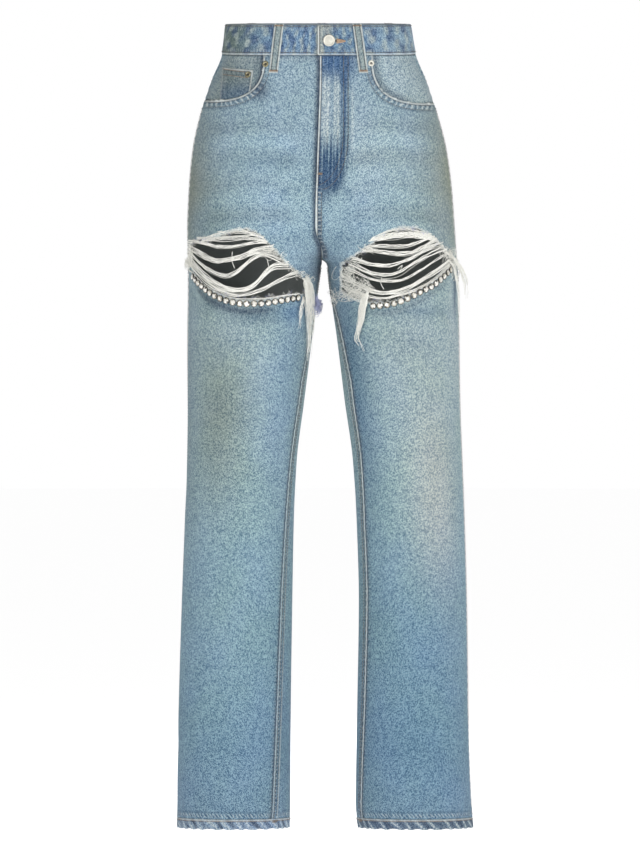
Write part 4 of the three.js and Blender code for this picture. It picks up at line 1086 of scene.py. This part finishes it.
# Rip threads: white cross yarns left bare where the blue ones were pulled out, with loose tufts and fluff.
# They are cotton, still woven into the cloth at both ends of each rip, and hang or curl where they broke.
# Bundles: width, then x and drop along each one
YARNS = {
    RIGHT: (
        (2.6, ((134, 281), (118, 279.5), (104, 279.5), (90, 284))),
        (2.6, ((162, 288), (146, 288), (130, 288.5), (108, 286.5), (90, 285), (78, 288))),
        (4.4, ((174, 291), (150, 297), (136, 300), (114, 299), (96, 296), (76, 294))),
        (7.5, ((174, 300), (162, 309), (148, 317), (132, 319), (108, 314), (86, 306), (66, 303))),
        (5.0, ((175, 305), (162, 321), (150, 331), (128, 339), (112, 333), (94, 318), (78, 311), (58, 319))),
        (7.0, ((175, 312), (164, 329), (148, 344), (126, 356), (106, 358), (88, 350), (66, 328), (46, 325))),
        (4.6, ((175, 320), (160, 340), (144, 354), (124, 363), (104, 365), (80, 358), (54, 344), (34, 335))),
        (1.6, ((174, 330), (162, 345), (148, 356), (128, 366), (106, 370), (84, 370), (60, 367), (33, 362))),
    ),
    LEFT: (
        (4.6, ((142, 284), (126, 282), (110, 283), (94, 287), (78, 290))),
        (3.0, ((146, 287), (128, 294), (112, 298), (96, 299), (80, 299), (64, 300))),
        (5.0, ((152, 291), (134, 301), (118, 308), (100, 309), (80, 307), (58, 304))),
        (4.4, ((158, 296), (138, 305), (120, 315), (102, 322), (84, 326), (62, 323), (44, 316))),
        (4.4, ((162, 301), (140, 312), (122, 322), (104, 334), (84, 338), (64, 334), (42, 322))),
        (4.0, ((168, 306), (150, 319), (132, 331), (110, 343), (88, 346), (66, 343), (36, 328))),
        (6.0, ((174, 315), (156, 330), (136, 343), (116, 354), (92, 361), (70, 360), (48, 350), (28, 338))),
        (4.0, ((170, 324), (148, 345), (126, 357), (104, 364), (82, 369), (62, 366), (42, 358), (28, 350))),
    ),
}
# Loose tufts: width, then x, drop and how far they stand off the cloth
TUFTS = {
    RIGHT: (
        (8.0, ((24, 342, 1), (22, 345, 2), (22, 352, 5), (23, 370, 7), (22, 405, 7), (22, 452, 5))),
        (6.0, ((23, 347, 1), (23, 351, 2), (23, 357, 5), (24, 374, 8), (23, 402, 8), (22, 440, 6))),
        (5.0, ((20, 341, 1), (18, 345, 2), (18, 352, 5), (18, 368, 7), (18, 392, 7), (18, 420, 6))),
        (3.2, ((25, 366, 1), (26, 369, 2), (29, 373, 5), (32, 382, 6), (33, 394, 6), (34, 412, 5))),
    ),
    LEFT: (
        (6.5, (
            (62, 360, 1), (61, 366, 2), (61, 373, 6), (60, 384, 8), (56, 402, 7), (49, 421, 5), (54, 432, 4),
        )),
        (5.0, ((57, 362, 1), (58, 368, 2), (58, 375, 7), (57, 386, 8), (54, 404, 7), (49, 424, 6))),
        (3.0, ((56, 364, 1), (56, 368, 2), (56, 373, 6), (55, 394, 8), (52, 418, 7), (60, 440, 5))),
        (4.0, ((166, 308, 1), (170, 312, 2), (174, 318, 5), (181, 334, 8), (182, 352, 12), (182, 370, 14))),
        (3.2, ((168, 318, 1), (171, 321, 2), (175, 328, 3), (179, 346, 4), (181, 364, 5), (182, 396, 5))),
        (2.6, ((164, 306, 1), (168, 309, 2), (173, 315, 5), (180, 330, 10), (182, 348, 15), (183, 362, 15))),
    ),
}
# Curled fluff: x and drop of the middle, half width and half height, strands, and whether it is blue
TANGLES = {
    RIGHT: (
        (11, 376, 5, 8, 60, True), (11, 376, 5, 8, 30, False), (176, 320, 3, 8, 24, False),
        (21, 341, 4, 5, 14, False), (172, 312, 3, 12, 16, False), (66, 308, 12, 6, 10, False),
        (34, 336, 10, 5, 8, False),
    ),
    LEFT: (
        (40, 340, 10, 16, 34, False), (44, 362, 14, 9, 44, False), (20, 366, 4, 8, 18, False),
        (62, 304, 10, 5, 10, False), (166, 312, 8, 10, 26, False), (177, 326, 4, 14, 16, False),
        (56, 354, 8, 9, 20, False),
    ),
}
# Single threads that came loose and hang across the gaps
LOOSE = {
    RIGHT: (((118, 307), (118.5, 319), (115, 329)), ((72, 317), (71, 323), (69.5, 330))),
    LEFT: (((80, 341), (79, 349), (83, 357)), ((112, 329), (104, 334), (107, 325), (101, 330))),
}


def along_path(path, count):
    """Points spaced evenly by knot along a smooth curve through the path's rows."""
    rows = np.array(path, float)
    rows = np.vstack([2 * rows[0] - rows[1], rows, 2 * rows[-1] - rows[-2]])
    t = np.linspace(0, len(path) - 1 - 1e-6, count)
    i, f = t.astype(int), (t % 1)[:, None]
    a, b, c, d = rows[i], rows[i + 1], rows[i + 2], rows[i + 3]
    return b + 0.5 * f * (c - a + f * (2 * a - 5 * b + 4 * c - d + f * (3 * (b - c) + d - a)))


def tubes(name, groups, sides, *finishes):
    """Many thin strands in one mesh; a group is an array of strands' points, radii in millimetres, finish."""
    line = bpy.data.curves.new(name, "CURVE")
    line.dimensions = "3D"
    line.bevel_depth = 0.001
    line.bevel_resolution = sides
    line.use_fill_caps = True
    for finish in finishes:
        line.materials.append(finish)
    for strands, radii, finish in groups:
        for points, thickness in zip(strands, radii):
            spline = line.splines.new("POLY")
            spline.points.add(len(points) - 1)
            spline.material_index = finish
            for point, place, radius in zip(spline.points, points, thickness):
                point.co = (*place, 1)
                point.radius = radius
    holder = bpy.data.objects.new(name + "_line", line)
    scene.collection.objects.link(holder)
    mesh = bpy.data.meshes.new_from_object(holder.evaluated_get(bpy.context.evaluated_depsgraph_get()))
    bpy.data.objects.remove(holder)
    mesh.name = name
    mesh.shade_smooth()
    piece = bpy.data.objects.new(name, mesh)
    scene.collection.objects.link(piece)
    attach(piece, "root")
    return piece


def on_front(side, x, drop, lift):
    return on_cloth(side, angle_at(side, x, drop), drop, lift)


def mottled_finish(name, shade, pale, ends, scale, detail, relief, depth):
    """A finish in two tones, in fine patches that also roughen it; gives it and its shader."""
    finish = bpy.data.materials.new(name)
    finish.use_nodes = True
    tree = finish.node_tree
    shader = tree.nodes["Principled BSDF"]
    spot = add_node(tree, "ShaderNodeTexCoord").outputs["Object"]
    patch = add_node(tree, "ShaderNodeTexNoise", Vector=spot, Scale=scale, Detail=detail).outputs["Fac"]
    ramp = add_node(tree, "ShaderNodeValToRGB", Fac=patch)
    for stop, position, colour in zip(ramp.color_ramp.elements, ends, (shade, pale)):
        stop.position = position
        stop.color = (*colour, 1)
    tree.links.new(ramp.outputs["Color"], shader.inputs["Base Color"])
    bump = add_node(tree, "ShaderNodeBump", Height=patch, Strength=relief, Distance=depth)
    tree.links.new(bump.outputs["Normal"], shader.inputs["Normal"])
    return finish, shader


def yarn_finish(name, pale, shade, scale=900):
    """Soft matt cotton with a slight fuzzy sheen."""
    finish, shader = mottled_finish(name, shade, pale, (0.36, 0.62), scale, 2, 0.5, 0.0003)
    shader.inputs["Roughness"].default_value = 0.95
    shader.inputs["Specular IOR Level"].default_value = 0.1
    shader.inputs["Sheen Weight"].default_value = 0.15
    return finish


white_yarn = yarn_finish("white_cotton_yarn", (0.95, 0.95, 0.90), (0.78, 0.77, 0.71))
blue_yarn = yarn_finish("pale_blue_yarn", (0.56, 0.58, 0.76), (0.33, 0.35, 0.58))

WHITE, BLUE = 0, 1
YARN_POINTS, TUFT_POINTS, CURL_POINTS, LOOSE_POINTS, FIBRE_POINTS = 40, 18, 16, 14, 5
FINE_YARN, LOOSE_YARN, SINGLE_YARN, FIBRE = 0.42, 0.42, 0.26, 0.17
# Fan of fine yarns in each rip's upper edge: highest drop, first and last x, and places for yarns
FANS = {RIGHT: (279, 158, 76, 9), LEFT: (276, 152, 66, 14)}
FAN_FOOT, SINGLES, FIBRES = 290, 9, 340
for side, side_name in SIDES:
    chance = np.random.default_rng(11 + side)
    groups = []
    steps = np.linspace(0, 1, YARN_POINTS)
    for width, path in YARNS[side]:
        count = max(2, round(width * 0.9))
        middle = along_path(path, YARN_POINTS)
        offset = (np.arange(count) - (count - 1) / 2)[:, None] * width / count
        offset = offset * (0.8 + 0.6 * (2 * steps - 1) ** 2) + chance.normal(0, 0.3, (count, 1))
        phase = chance.uniform(0, TURN, (count, 4))
        waves = 0.4 * np.sin(steps * 9 + phase[:, :1]) + 0.3 * np.sin(steps * 23 + phase[:, 1:2])
        waves = waves + 0.22 * np.sin(steps * 57 + phase[:, 3:])
        x = middle[:, 0] + chance.uniform(0, 4.5, (count, 1)) * (1 - 2 * steps) ** 5
        drop = middle[:, 1] + offset + waves
        lift = -0.9 + 0.7 * np.sin(steps * 6 + phase[:, 2:3]) + 1.9 * np.abs(2 * steps - 1) ** 6
        radius = chance.uniform(0.44, 0.72, (count, 1)) * (1 + 0.25 * np.sin(steps * 31 + phase[:, :1]))
        groups.append((on_front(side, x, drop, lift), radius, WHITE))
    # fan of fine yarns that fills the rip's upper edge
    fan_top, fan_from, fan_to, fan_count = FANS[side]
    order = np.delete(np.arange(fan_count), (3, 4))[:, None] / fan_count
    x = mix(fan_from + 4 * order, fan_to - 4 * order, steps)
    arch = np.sin(np.pi * steps) ** 0.8
    drop = FAN_FOOT + 4 * order - (FAN_FOOT - fan_top - 9 * order) * arch + chance.normal(0, 0.3, x.shape)
    lift = 0.2 + 0.5 * np.cos(6 * steps + 9 * order)
    groups.append((on_front(side, x, drop, lift), np.full(x.shape, FINE_YARN), WHITE))
    # single fine threads beside the bundles and across the gaps
    single = np.array([along_path(YARNS[side][k % 7][1], YARN_POINTS) for k in range(SINGLES)])
    x, here = single[..., 0], single[..., 1]
    below = chance.uniform(-4, 6, (SINGLES, 1)) * np.sin(np.pi * steps) ** 0.7
    lift = -0.5 + chance.normal(0, 0.5, (SINGLES, 1))
    groups.append((on_front(side, x, here + below, lift), np.full(x.shape, SINGLE_YARN), WHITE))
    for path in LOOSE[side]:
        row = along_path(path, LOOSE_POINTS)[None]
        thin = np.full(row.shape[:2], LOOSE_YARN)
        groups.append((on_front(side, row[..., 0], row[..., 1], 0.8), thin, WHITE))
    # tufts
    for width, path in TUFTS[side]:
        count = round(width * 4)
        middle = along_path(path, TUFT_POINTS)
        t = np.linspace(0, 1, TUFT_POINTS)
        share = t * chance.uniform(0.62, 1.0, (count, 1))
        fullness = (0.55 + 0.6 * np.sin(np.pi * share * 0.9))[:, None]
        spread_out = chance.normal(0, 0.24, (count, 2, 1)) * width * fullness
        phase = chance.uniform(0, TURN, (count, 2))
        curl = 0.7 * np.sin(share * 13 + phase[:, :1]) * share + 0.4 * np.sin(share * 29 + phase[:, 1:])
        x = np.interp(share, t, middle[:, 0]) + spread_out[:, 0] + curl
        drop = np.interp(share, t, middle[:, 1]) + 0.3 * spread_out[:, 1]
        lift = np.maximum(np.interp(share, t, middle[:, 2]) + 0.5 * spread_out[:, 1], 0.3)
        radius = 0.52 * (1 - 0.6 * t) * np.ones(x.shape)
        groups.append((on_front(side, np.maximum(x, 4), drop, lift), radius, WHITE))
    # curled fluff
    for mid_x, mid_drop, wide, tall, count, is_blue in TANGLES[side]:
        t = np.linspace(0, 1, CURL_POINTS)
        phase = chance.uniform(0, TURN, (count, 4, 1))
        turns = chance.uniform(3, 9, (count, 2, 1))
        start = chance.normal(0, 0.55, (count, 2, 1))
        loop = chance.uniform(0.25, 0.6, (count, 1))
        x = mid_x + wide * (start[:, 0] + loop * np.sin(turns[:, 0] * t + phase[:, 0]))
        sway = loop * np.sin(turns[:, 1] * t + phase[:, 1])
        drop = mid_drop + tall * (start[:, 1] + sway + 0.5 * (t - 0.5))
        stand, bulk, thick = (3.2, 3.0, 0.42) if is_blue else (1.2, 2.2, 0.27)
        lift = stand + bulk * (1 + np.sin(4 * t + phase[:, 2]))
        radius = np.full(x.shape, thick) * (1 - 0.4 * t)
        groups.append((on_front(side, np.maximum(x, 3), drop, lift), radius, BLUE if is_blue else WHITE))
    threads = tubes(f"rip_yarns_{side_name}", groups, 1, white_yarn, blue_yarn)
    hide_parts(f"rip_threads_{side_name}")

    # fluff: short fibres round the rip's edge
    edge = []
    rows = np.array(RIPS[side], float)
    for _ in range(FIBRES):
        share = chance.uniform(0, len(rows) - 1.01)
        i = int(share)
        row = mix(rows[i], rows[i + 1], share % 1)
        upper = chance.random() < 0.55
        edge.append((row[0], row[1] if upper else row[2], -1 if upper else 1))
    edge = np.array(edge)
    t = np.linspace(0, 1, FIBRE_POINTS)
    heading = chance.uniform(-1.2, 1.2, (FIBRES, 1))
    length = chance.uniform(1.5, 5.5, (FIBRES, 1))
    x = edge[:, :1] + length * t * np.sin(heading) + chance.normal(0, 0.6, (FIBRES, FIBRE_POINTS))
    away = chance.choice([-1, 1], (FIBRES, 1), p=[0.35, 0.65])
    drop = edge[:, 1:2] + edge[:, 2:] * (away * length * t * np.cos(heading) - 2)
    lift = 0.2 + chance.uniform(0.3, 2.2, (FIBRES, 1)) * np.sin(np.pi * t * 0.8)
    fluff = on_front(side, np.clip(x, 5, 177), drop, lift)
    blue = chance.random(FIBRES) < 0.15
    thin = np.full(x.shape, FIBRE)
    dyed = (fluff[~blue], thin[~blue], WHITE), (fluff[blue], thin[blue], BLUE)
    fibres = tubes(f"rip_fluff_{side_name}", dyed, 0, white_yarn, blue_yarn)

# Crystal rows: clear cut stones in dull silver cups, sewn side by side along each rip's lower edge.
# Each cup holds its stone with four small claws.
STONE_PITCH, STONE_RADIUS, STONE_TALL, TABLE_SHARE = 9.5, 4.0, 1.3, 0.55
CUP_RADIUS, CUP_FOOT, CUP_TALL, CLAW_RADIUS = 4.6, 4.3, 1.8, 0.62
STONE_PATHS = {
    RIGHT: (
        (171.5, 338), (164, 347), (152, 358), (138, 367), (122, 373), (106, 376), (90, 376), (74, 375),
        (56, 372), (40, 369), (26, 366.5),
    ),
    LEFT: ((172, 329), (160, 341), (147, 352), (133, 359), (114, 369), (95, 376), (78, 378.5), (62, 379)),
}


def metal_finish(name, colour, rough, mottled=0.06):
    shade, pale = [max(0, c - mottled) for c in colour], [c + mottled for c in colour]
    finish, shader = mottled_finish(name, shade, pale, (0.35, 0.65), 420, 4, 0.15, 0.0002)
    shader.inputs["Metallic"].default_value = 1.0
    shader.inputs["Roughness"].default_value = rough
    return finish


def stone_finish(name, colour):
    finish = metal_finish(name, colour, 0.08, 0.03)
    shader = finish.node_tree.nodes["Principled BSDF"]
    shader.inputs["Metallic"].default_value = 0.0
    shader.inputs["Specular IOR Level"].default_value = 0.9
    shader.inputs["Coat Weight"].default_value = 1.0
    shader.inputs["Coat Roughness"].default_value = 0.02
    return finish


cup_metal = metal_finish("dull_silver_cup", (0.10, 0.095, 0.085), 0.45)
# Three tones of the same clear glass for the stones' facets: a bright painted glint, painted shade and deep
# painted shade
stone_painted_glint = stone_finish("crystal_facet_painted_glint", (0.80, 0.78, 0.72))
stone_painted_shade = stone_finish("crystal_facet_painted_shade", (0.48, 0.46, 0.38))
stone_painted_dark = stone_finish("crystal_facet_painted_dark", (0.12, 0.115, 0.10))


def faces_of(verts):
    """The faces round some vertices."""
    return {face for vert in verts for face in vert.link_faces}


def seat(side, angle, drop, lift, heading=0.0):
    """The turn and place of a small part sitting on the cloth, its own z axis facing out."""
    place = on_cloth(side, np.array(angle), np.array(drop), lift)
    up = Vector((on_cloth(side, np.array(angle), np.array(drop), lift + 1) - place) * 1000).normalized()
    across = Vector((on_cloth(side, np.array(angle + 0.01), np.array(drop), lift) - place)).normalized()
    down = up.cross(across).normalized()
    across = down.cross(up)
    turn = Matrix((across, down, up)).transposed().to_4x4() @ Matrix.Rotation(heading, 4, "Z")
    return Matrix.Translation(Vector(place)) @ turn @ Matrix.Scale(0.001, 4)


for side, side_name in SIDES:
    chance = random.Random(5 + side)
    fine = along_path(STONE_PATHS[side], 400)
    path = on_front(side, fine[:, 0], fine[:, 1], 0.6)
    run = np.r_[0, np.cumsum(np.linalg.norm(np.diff(path, axis=0), axis=1))] * 1000
    spots = np.arange(3, run[-1] - 3, STONE_PITCH)
    cups, stones = bmesh.new(), bmesh.new()
    for spot in spots:
        x, drop = np.interp(spot, run, fine[:, 0]), np.interp(spot, run, fine[:, 1])
        base = seat(side, float(angle_at(side, x, drop)), drop, 0.5, chance.uniform(0, TURN))
        lean = base @ Matrix.Rotation(chance.uniform(-0.12, 0.12), 4, "X")
        bmesh.ops.create_cone(
            cups, cap_ends=True, segments=12, radius1=CUP_FOOT, radius2=CUP_RADIUS, depth=CUP_TALL,
            matrix=lean @ Matrix.Translation((0, 0, CUP_TALL / 2)),
        )
        for claw in range(4):
            tip = Matrix.Rotation(claw * math.pi / 2, 4, "Z") @ Matrix.Translation((STONE_RADIUS, 0, 1.9))
            bmesh.ops.create_icosphere(cups, subdivisions=1, radius=CLAW_RADIUS, matrix=lean @ tip)
        made = bmesh.ops.create_cone(
            stones, cap_ends=True, segments=8, radius1=STONE_RADIUS, radius2=STONE_RADIUS * TABLE_SHARE,
            depth=STONE_TALL, matrix=lean @ Matrix.Translation((0, 0, 2.5)),
        )
        # Each side facet is painted bright, shaded or dark at random, as the glints and shade of cut glass
        for facet in sorted(faces_of(made["verts"]), key=lambda face: face.index):
            facet.material_index = chance.choice((0, 0, 1, 1, 2)) if len(facet.verts) == 4 else 0
    cup_row = link_mesh(f"crystal_cups_{side_name}", cups, cup_metal)
    stone_row = link_mesh(f"crystals_{side_name}", stones, stone_painted_glint, stone_painted_shade, stone_painted_dark)
    for piece in (cup_row, stone_row):
        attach(piece, "root")
    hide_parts(f"crystal_trim_{side_name}")

# Button and rivets: stamped caps of pale, slightly dull metal, fixed through the cloth by their posts.
# The button closes the waistband; the rivets hold the pocket corners.
pale_metal = metal_finish("pale_silver_cap", (0.70, 0.685, 0.61), 0.5)
dull_brass = metal_finish("dull_brass_rivet", (0.34, 0.31, 0.20), 0.45, 0.12)


def turned(name, profile, places, finish):
    """A round cap spun from its half section, set at each place."""
    bm = bmesh.new()
    for place in places:
        rim = [bm.verts.new((r, 0, h)) for r, h in profile]
        edges = [bm.edges.new(pair) for pair in zip(rim, rim[1:])]
        bmesh.ops.spin(
            bm, geom=rim + edges, axis=(0, 0, 1), cent=(0, 0, 0), steps=36, angle=2 * math.pi, use_merge=True
        )
        fresh = [v for v in bm.verts if not v.tag]
        bmesh.ops.remove_doubles(bm, verts=fresh, dist=0.0005)
        fresh = [v for v in bm.verts if not v.tag]
        bmesh.ops.recalc_face_normals(bm, faces=list(faces_of(fresh)))
        bmesh.ops.transform(bm, matrix=place, verts=fresh)
        for v in fresh:
            v.tag = True
    for face in bm.faces:
        face.smooth = True
    piece = link_mesh(name, bm, finish)
    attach(piece, "root")
    return piece


# Half sections as radius and height
BUTTON_PROFILE = (
    (0, 0), (4, 0), (4, 1.7), (7.4, 1.8), (8.1, 2.3), (8.2, 3.0), (7.9, 3.7), (7.3, 4.1), (6.7, 4.15),
    (6.3, 3.95), (5.6, 3.95), (3.0, 4.2), (0, 4.3),
)
RING_PROFILE = ((0, 0), (4.3, 0), (4.3, 0.5), (3.9, 1.0), (3.1, 1.2), (2.2, 1.1), (1.6, 0.5), (0, 0.5))
EYE_PROFILE = ((0, 0.4), (1.3, 0.4), (1.3, 0.8), (0.8, 1.0), (0, 1.05))
BUTTON_X, BUTTON_DROP = 10, 21
button_place = seat(LEFT, float(angle_at(LEFT, BUTTON_X, BUTTON_DROP)), BUTTON_DROP, 1.2)
button = turned("waist_button", BUTTON_PROFILE, [button_place], pale_metal)
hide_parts("button")
eyes = []
for node_name, side, x, drop, lift in (
    ("rivet_right", RIGHT, 74.5, 52, 0.1), ("rivet_left", LEFT, 66, 51, 0.1),
    ("rivet_coin", RIGHT, 98, 66, -0.3),
):
    spot = seat(side, float(angle_at(side, x, drop)), drop, lift)
    cap = turned(f"cap_{node_name}", RING_PROFILE, [spot], pale_metal if side == LEFT else dull_brass)
    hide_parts(node_name)
    eyes.append(spot)
turned("rivet_eyes", EYE_PROFILE, eyes, cup_metal)

# Sewing: every seam's lockstitch in grey-brown thread, tan at the hems, bar tacks and buttonhole.
# Each stitch is a short raised length of thread that dips into the cloth at both ends.
grey_thread = yarn_finish("grey_brown_thread", (0.20, 0.175, 0.145), (0.07, 0.07, 0.075), 260)
tan_thread = yarn_finish("tan_thread", (0.40, 0.315, 0.245), (0.20, 0.155, 0.125), 260)
beige_thread = yarn_finish("beige_thread", (0.56, 0.41, 0.29), (0.28, 0.195, 0.135), 700)
GREY, TAN, BEIGE = 0, 1, 2
STITCH, TACK_STITCH = 3.7, 2.2
stitches = []


def sew(side, angle, drop, lift, finish=GREY, pitch=STITCH, thick=0.36):
    """Stitches along a line given as many points on the cloth."""
    low = on_cloth(side, angle, drop, lift - 0.25)
    high = on_cloth(side, angle, drop, lift + 0.4)
    run = np.r_[0, np.cumsum(np.linalg.norm(np.diff(low, axis=0), axis=1))] * 1000
    starts = np.arange(0.0, run[-1] - pitch * 0.7, pitch)
    at = starts[:, None] + np.array((0.0, 0.2, 0.5, 0.72)) * pitch
    dips = np.stack([np.interp(at, run, low[:, k]) for k in range(3)], -1)
    tops = np.stack([np.interp(at, run, high[:, k]) for k in range(3)], -1)
    dips[:, 1:3] = tops[:, 1:3]
    stitches.append((dips, np.full(at.shape, thick), finish))


def sew_front(side, x, drop, lift, **more):
    """Stitches along a line on the front, given by x and drop."""
    sew(side, angle_at(side, x, drop), drop, lift, **more)


def turn_for(side, angle, drop, distance):
    """The turn that moves a line on the cloth by a distance round the leg."""
    moved = plain_form(side, angle + 0.02, drop) - plain_form(side, angle, drop)
    return angle + distance * 0.02 / np.linalg.norm(moved, axis=1)


def zigzag(count):
    """A bar tack's steps to and fro."""
    return np.sign(np.sin(np.arange(count) * 1.6))


fine = np.linspace(0, 1, 500)
for row in (2.0, 36.8):
    sew(LEFT, mix(np.pi, -np.pi, fine), np.full(500, row), WAIST_LIFT)
    sew(RIGHT, mix(float(angle_at(RIGHT, UNDER_START, row)), -np.pi, fine), np.full(500, row), WAIST_LIFT)
lap = np.linspace(2, 38, 40)
sew_front(RIGHT, np.full(40, 2.6), lap, WAIST_LIFT + 0.1)
for inset in (2.6, 8.6):
    down = np.linspace(42, FLY_BOTTOM - inset, 300)
    edge = np.maximum(fly_edge(down, FLY_BOTTOM - inset) - inset, 2 - centre_shift(down))
    sew_front(LEFT, edge, down, 1.5)
down = np.linspace(43, FLY_BOTTOM - 6, 200)
sew_front(LEFT, 2.6 - centre_shift(down), down, 1.5)
down = np.linspace(FLY_BOTTOM + 2, CROTCH - 30, 120)
for x in (2.4, 7.4):
    sew_front(LEFT, x - centre_shift(down), down, 0.9)
for side, _ in SIDES:
    for inset in (2.8, 8.8):
        x, drop = pocket_mouth(side, np.linspace(0.03, 0.99, 240))
        out_x, out_drop = np.gradient(x), np.gradient(drop)
        long = np.hypot(out_x, out_drop)
        x, drop = x - out_drop / long * inset, drop + out_x / long * inset
        keep = (drop > 42) & (x < pocket_side(side) + 1)
        sew_front(side, x[keep], drop[keep], 0.35)
for inset in (2.2, 9.4):
    x = np.linspace(131, 95, 60)
    sew_front(RIGHT, x, mix(57.0, 62.0, (133 - x) / 40) + inset, -0.1, finish=TAN, thick=0.42)
down = np.linspace(64, 86, 40)
sew_front(RIGHT, np.full(40, 94.8), down, -0.5)
for side, _ in SIDES:
    drop = np.linspace(CROTCH + 12, HEM_TOP - 1, 900)
    _, inner = seam_angles(side, drop)
    for inset in (2.6, 7.8):
        sew(side, turn_for(side, inner, drop, inset), drop, 0.95)
    drop = np.linspace(112, HEM_TOP - 1, 900)
    outer, inner = seam_angles(side, drop)
    sew(side, turn_for(side, outer, drop, 2.6), drop, 0.45)
    tack = inner[-1] + np.linspace(0.01, 0.12, 30)
    for row in (2.0, 3.2, 4.4):
        sew(side, tack, np.full(30, HEM_TOP + row), 1.3, finish=TAN, pitch=3.0)
    sew(side, np.linspace(-np.pi, np.pi, 700), np.full(700, HEM_TOP + 2.4), 0.75, finish=TAN)
    share = np.linspace(0.01, 0.99, 260)
    for above in (2.2, 8.2):
        sew(side, -share * np.pi, yoke_seam(share) - above, 0.3)
for x in (2.2, 8.2):
    drop = np.linspace(42, CROTCH - 6, 260)
    sew(LEFT, -angle_at(LEFT, np.full(260, x), drop), drop, 0.9)
for _, side, face, top_x, bottom_x in LOOPS:
    down = np.linspace(LOOP_TOP + 2, LOOP_BOTTOM - 2, 80)
    for inset in (-3.6, 3.6):
        x = np.interp(down, (LOOP_TOP, LOOP_BOTTOM), (top_x, bottom_x)) + inset
        here = np.where(x < 0, -side, side)
        sew(here, face * angle_at(here, np.abs(x), down), down, loop_lift(down))
    for tack in (LOOP_TOP + 3, LOOP_BOTTOM - 2.5):
        centre = np.interp(tack, (LOOP_TOP, LOOP_BOTTOM), (top_x, bottom_x))
        x = centre + np.linspace(-5.4, 5.4, 60)
        drop = tack + 1.2 * zigzag(60)
        here = np.where(x < 0, -side, side)
        angle = face * angle_at(here, np.abs(x), drop)
        sew(here, angle, drop, loop_lift(drop) + 0.1, finish=TAN, pitch=TACK_STITCH)
for side, _ in SIDES:
    for inset in (2.4, 8.4):
        near, low = inset / PATCH_WIDE, 1 - inset / PATCH_TALL
        mouth = (inset + (4 if inset > 5 else 0)) / PATCH_TALL
        down, across = np.linspace(0.02, low, 160), np.linspace(near, 1 - near, 160)
        for v, u in ((down, near), (down, 1 - near), (low, across), (mouth, across)):
            angle, drop = back_pocket_spot(side, *np.broadcast_arrays(v, u))
            sew(side, angle, drop, PATCH_LIFT + 0.1)
fly_tack = np.linspace(-5, 1, 40)
sew_front(LEFT, fly_tack, 202 + 1.3 * zigzag(40), 2.2, finish=TAN, pitch=TACK_STITCH, thick=0.45)
HOLE_START, HOLE_END, HOLE_DROP = 20.4, 31.5, 21.5
for x in np.linspace(HOLE_START, HOLE_END, 22):
    tall = np.interp(x, (HOLE_START, HOLE_END), (3.6, 0.9))
    for edge in (-1, 1):
        sew_front(
            LEFT, np.full(6, x), HOLE_DROP + edge * np.linspace(0.1, 0.1 + tall, 6), WAIST_LIFT + 0.6,
            finish=BEIGE, pitch=tall * 1.2, thick=0.5,
        )
# The buttonhole's eye: a dab of thick dark thread as painted shade of the open eye
buttonhole_eye_shade = np.linspace(18.6, 20.6, 8)
sew_front(LEFT, buttonhole_eye_shade, np.full(8, HOLE_DROP), WAIST_LIFT + 0.4, pitch=1.8, thick=1.2)
sewing = tubes("sewing", stitches, 0, grey_thread, tan_thread, beige_thread)
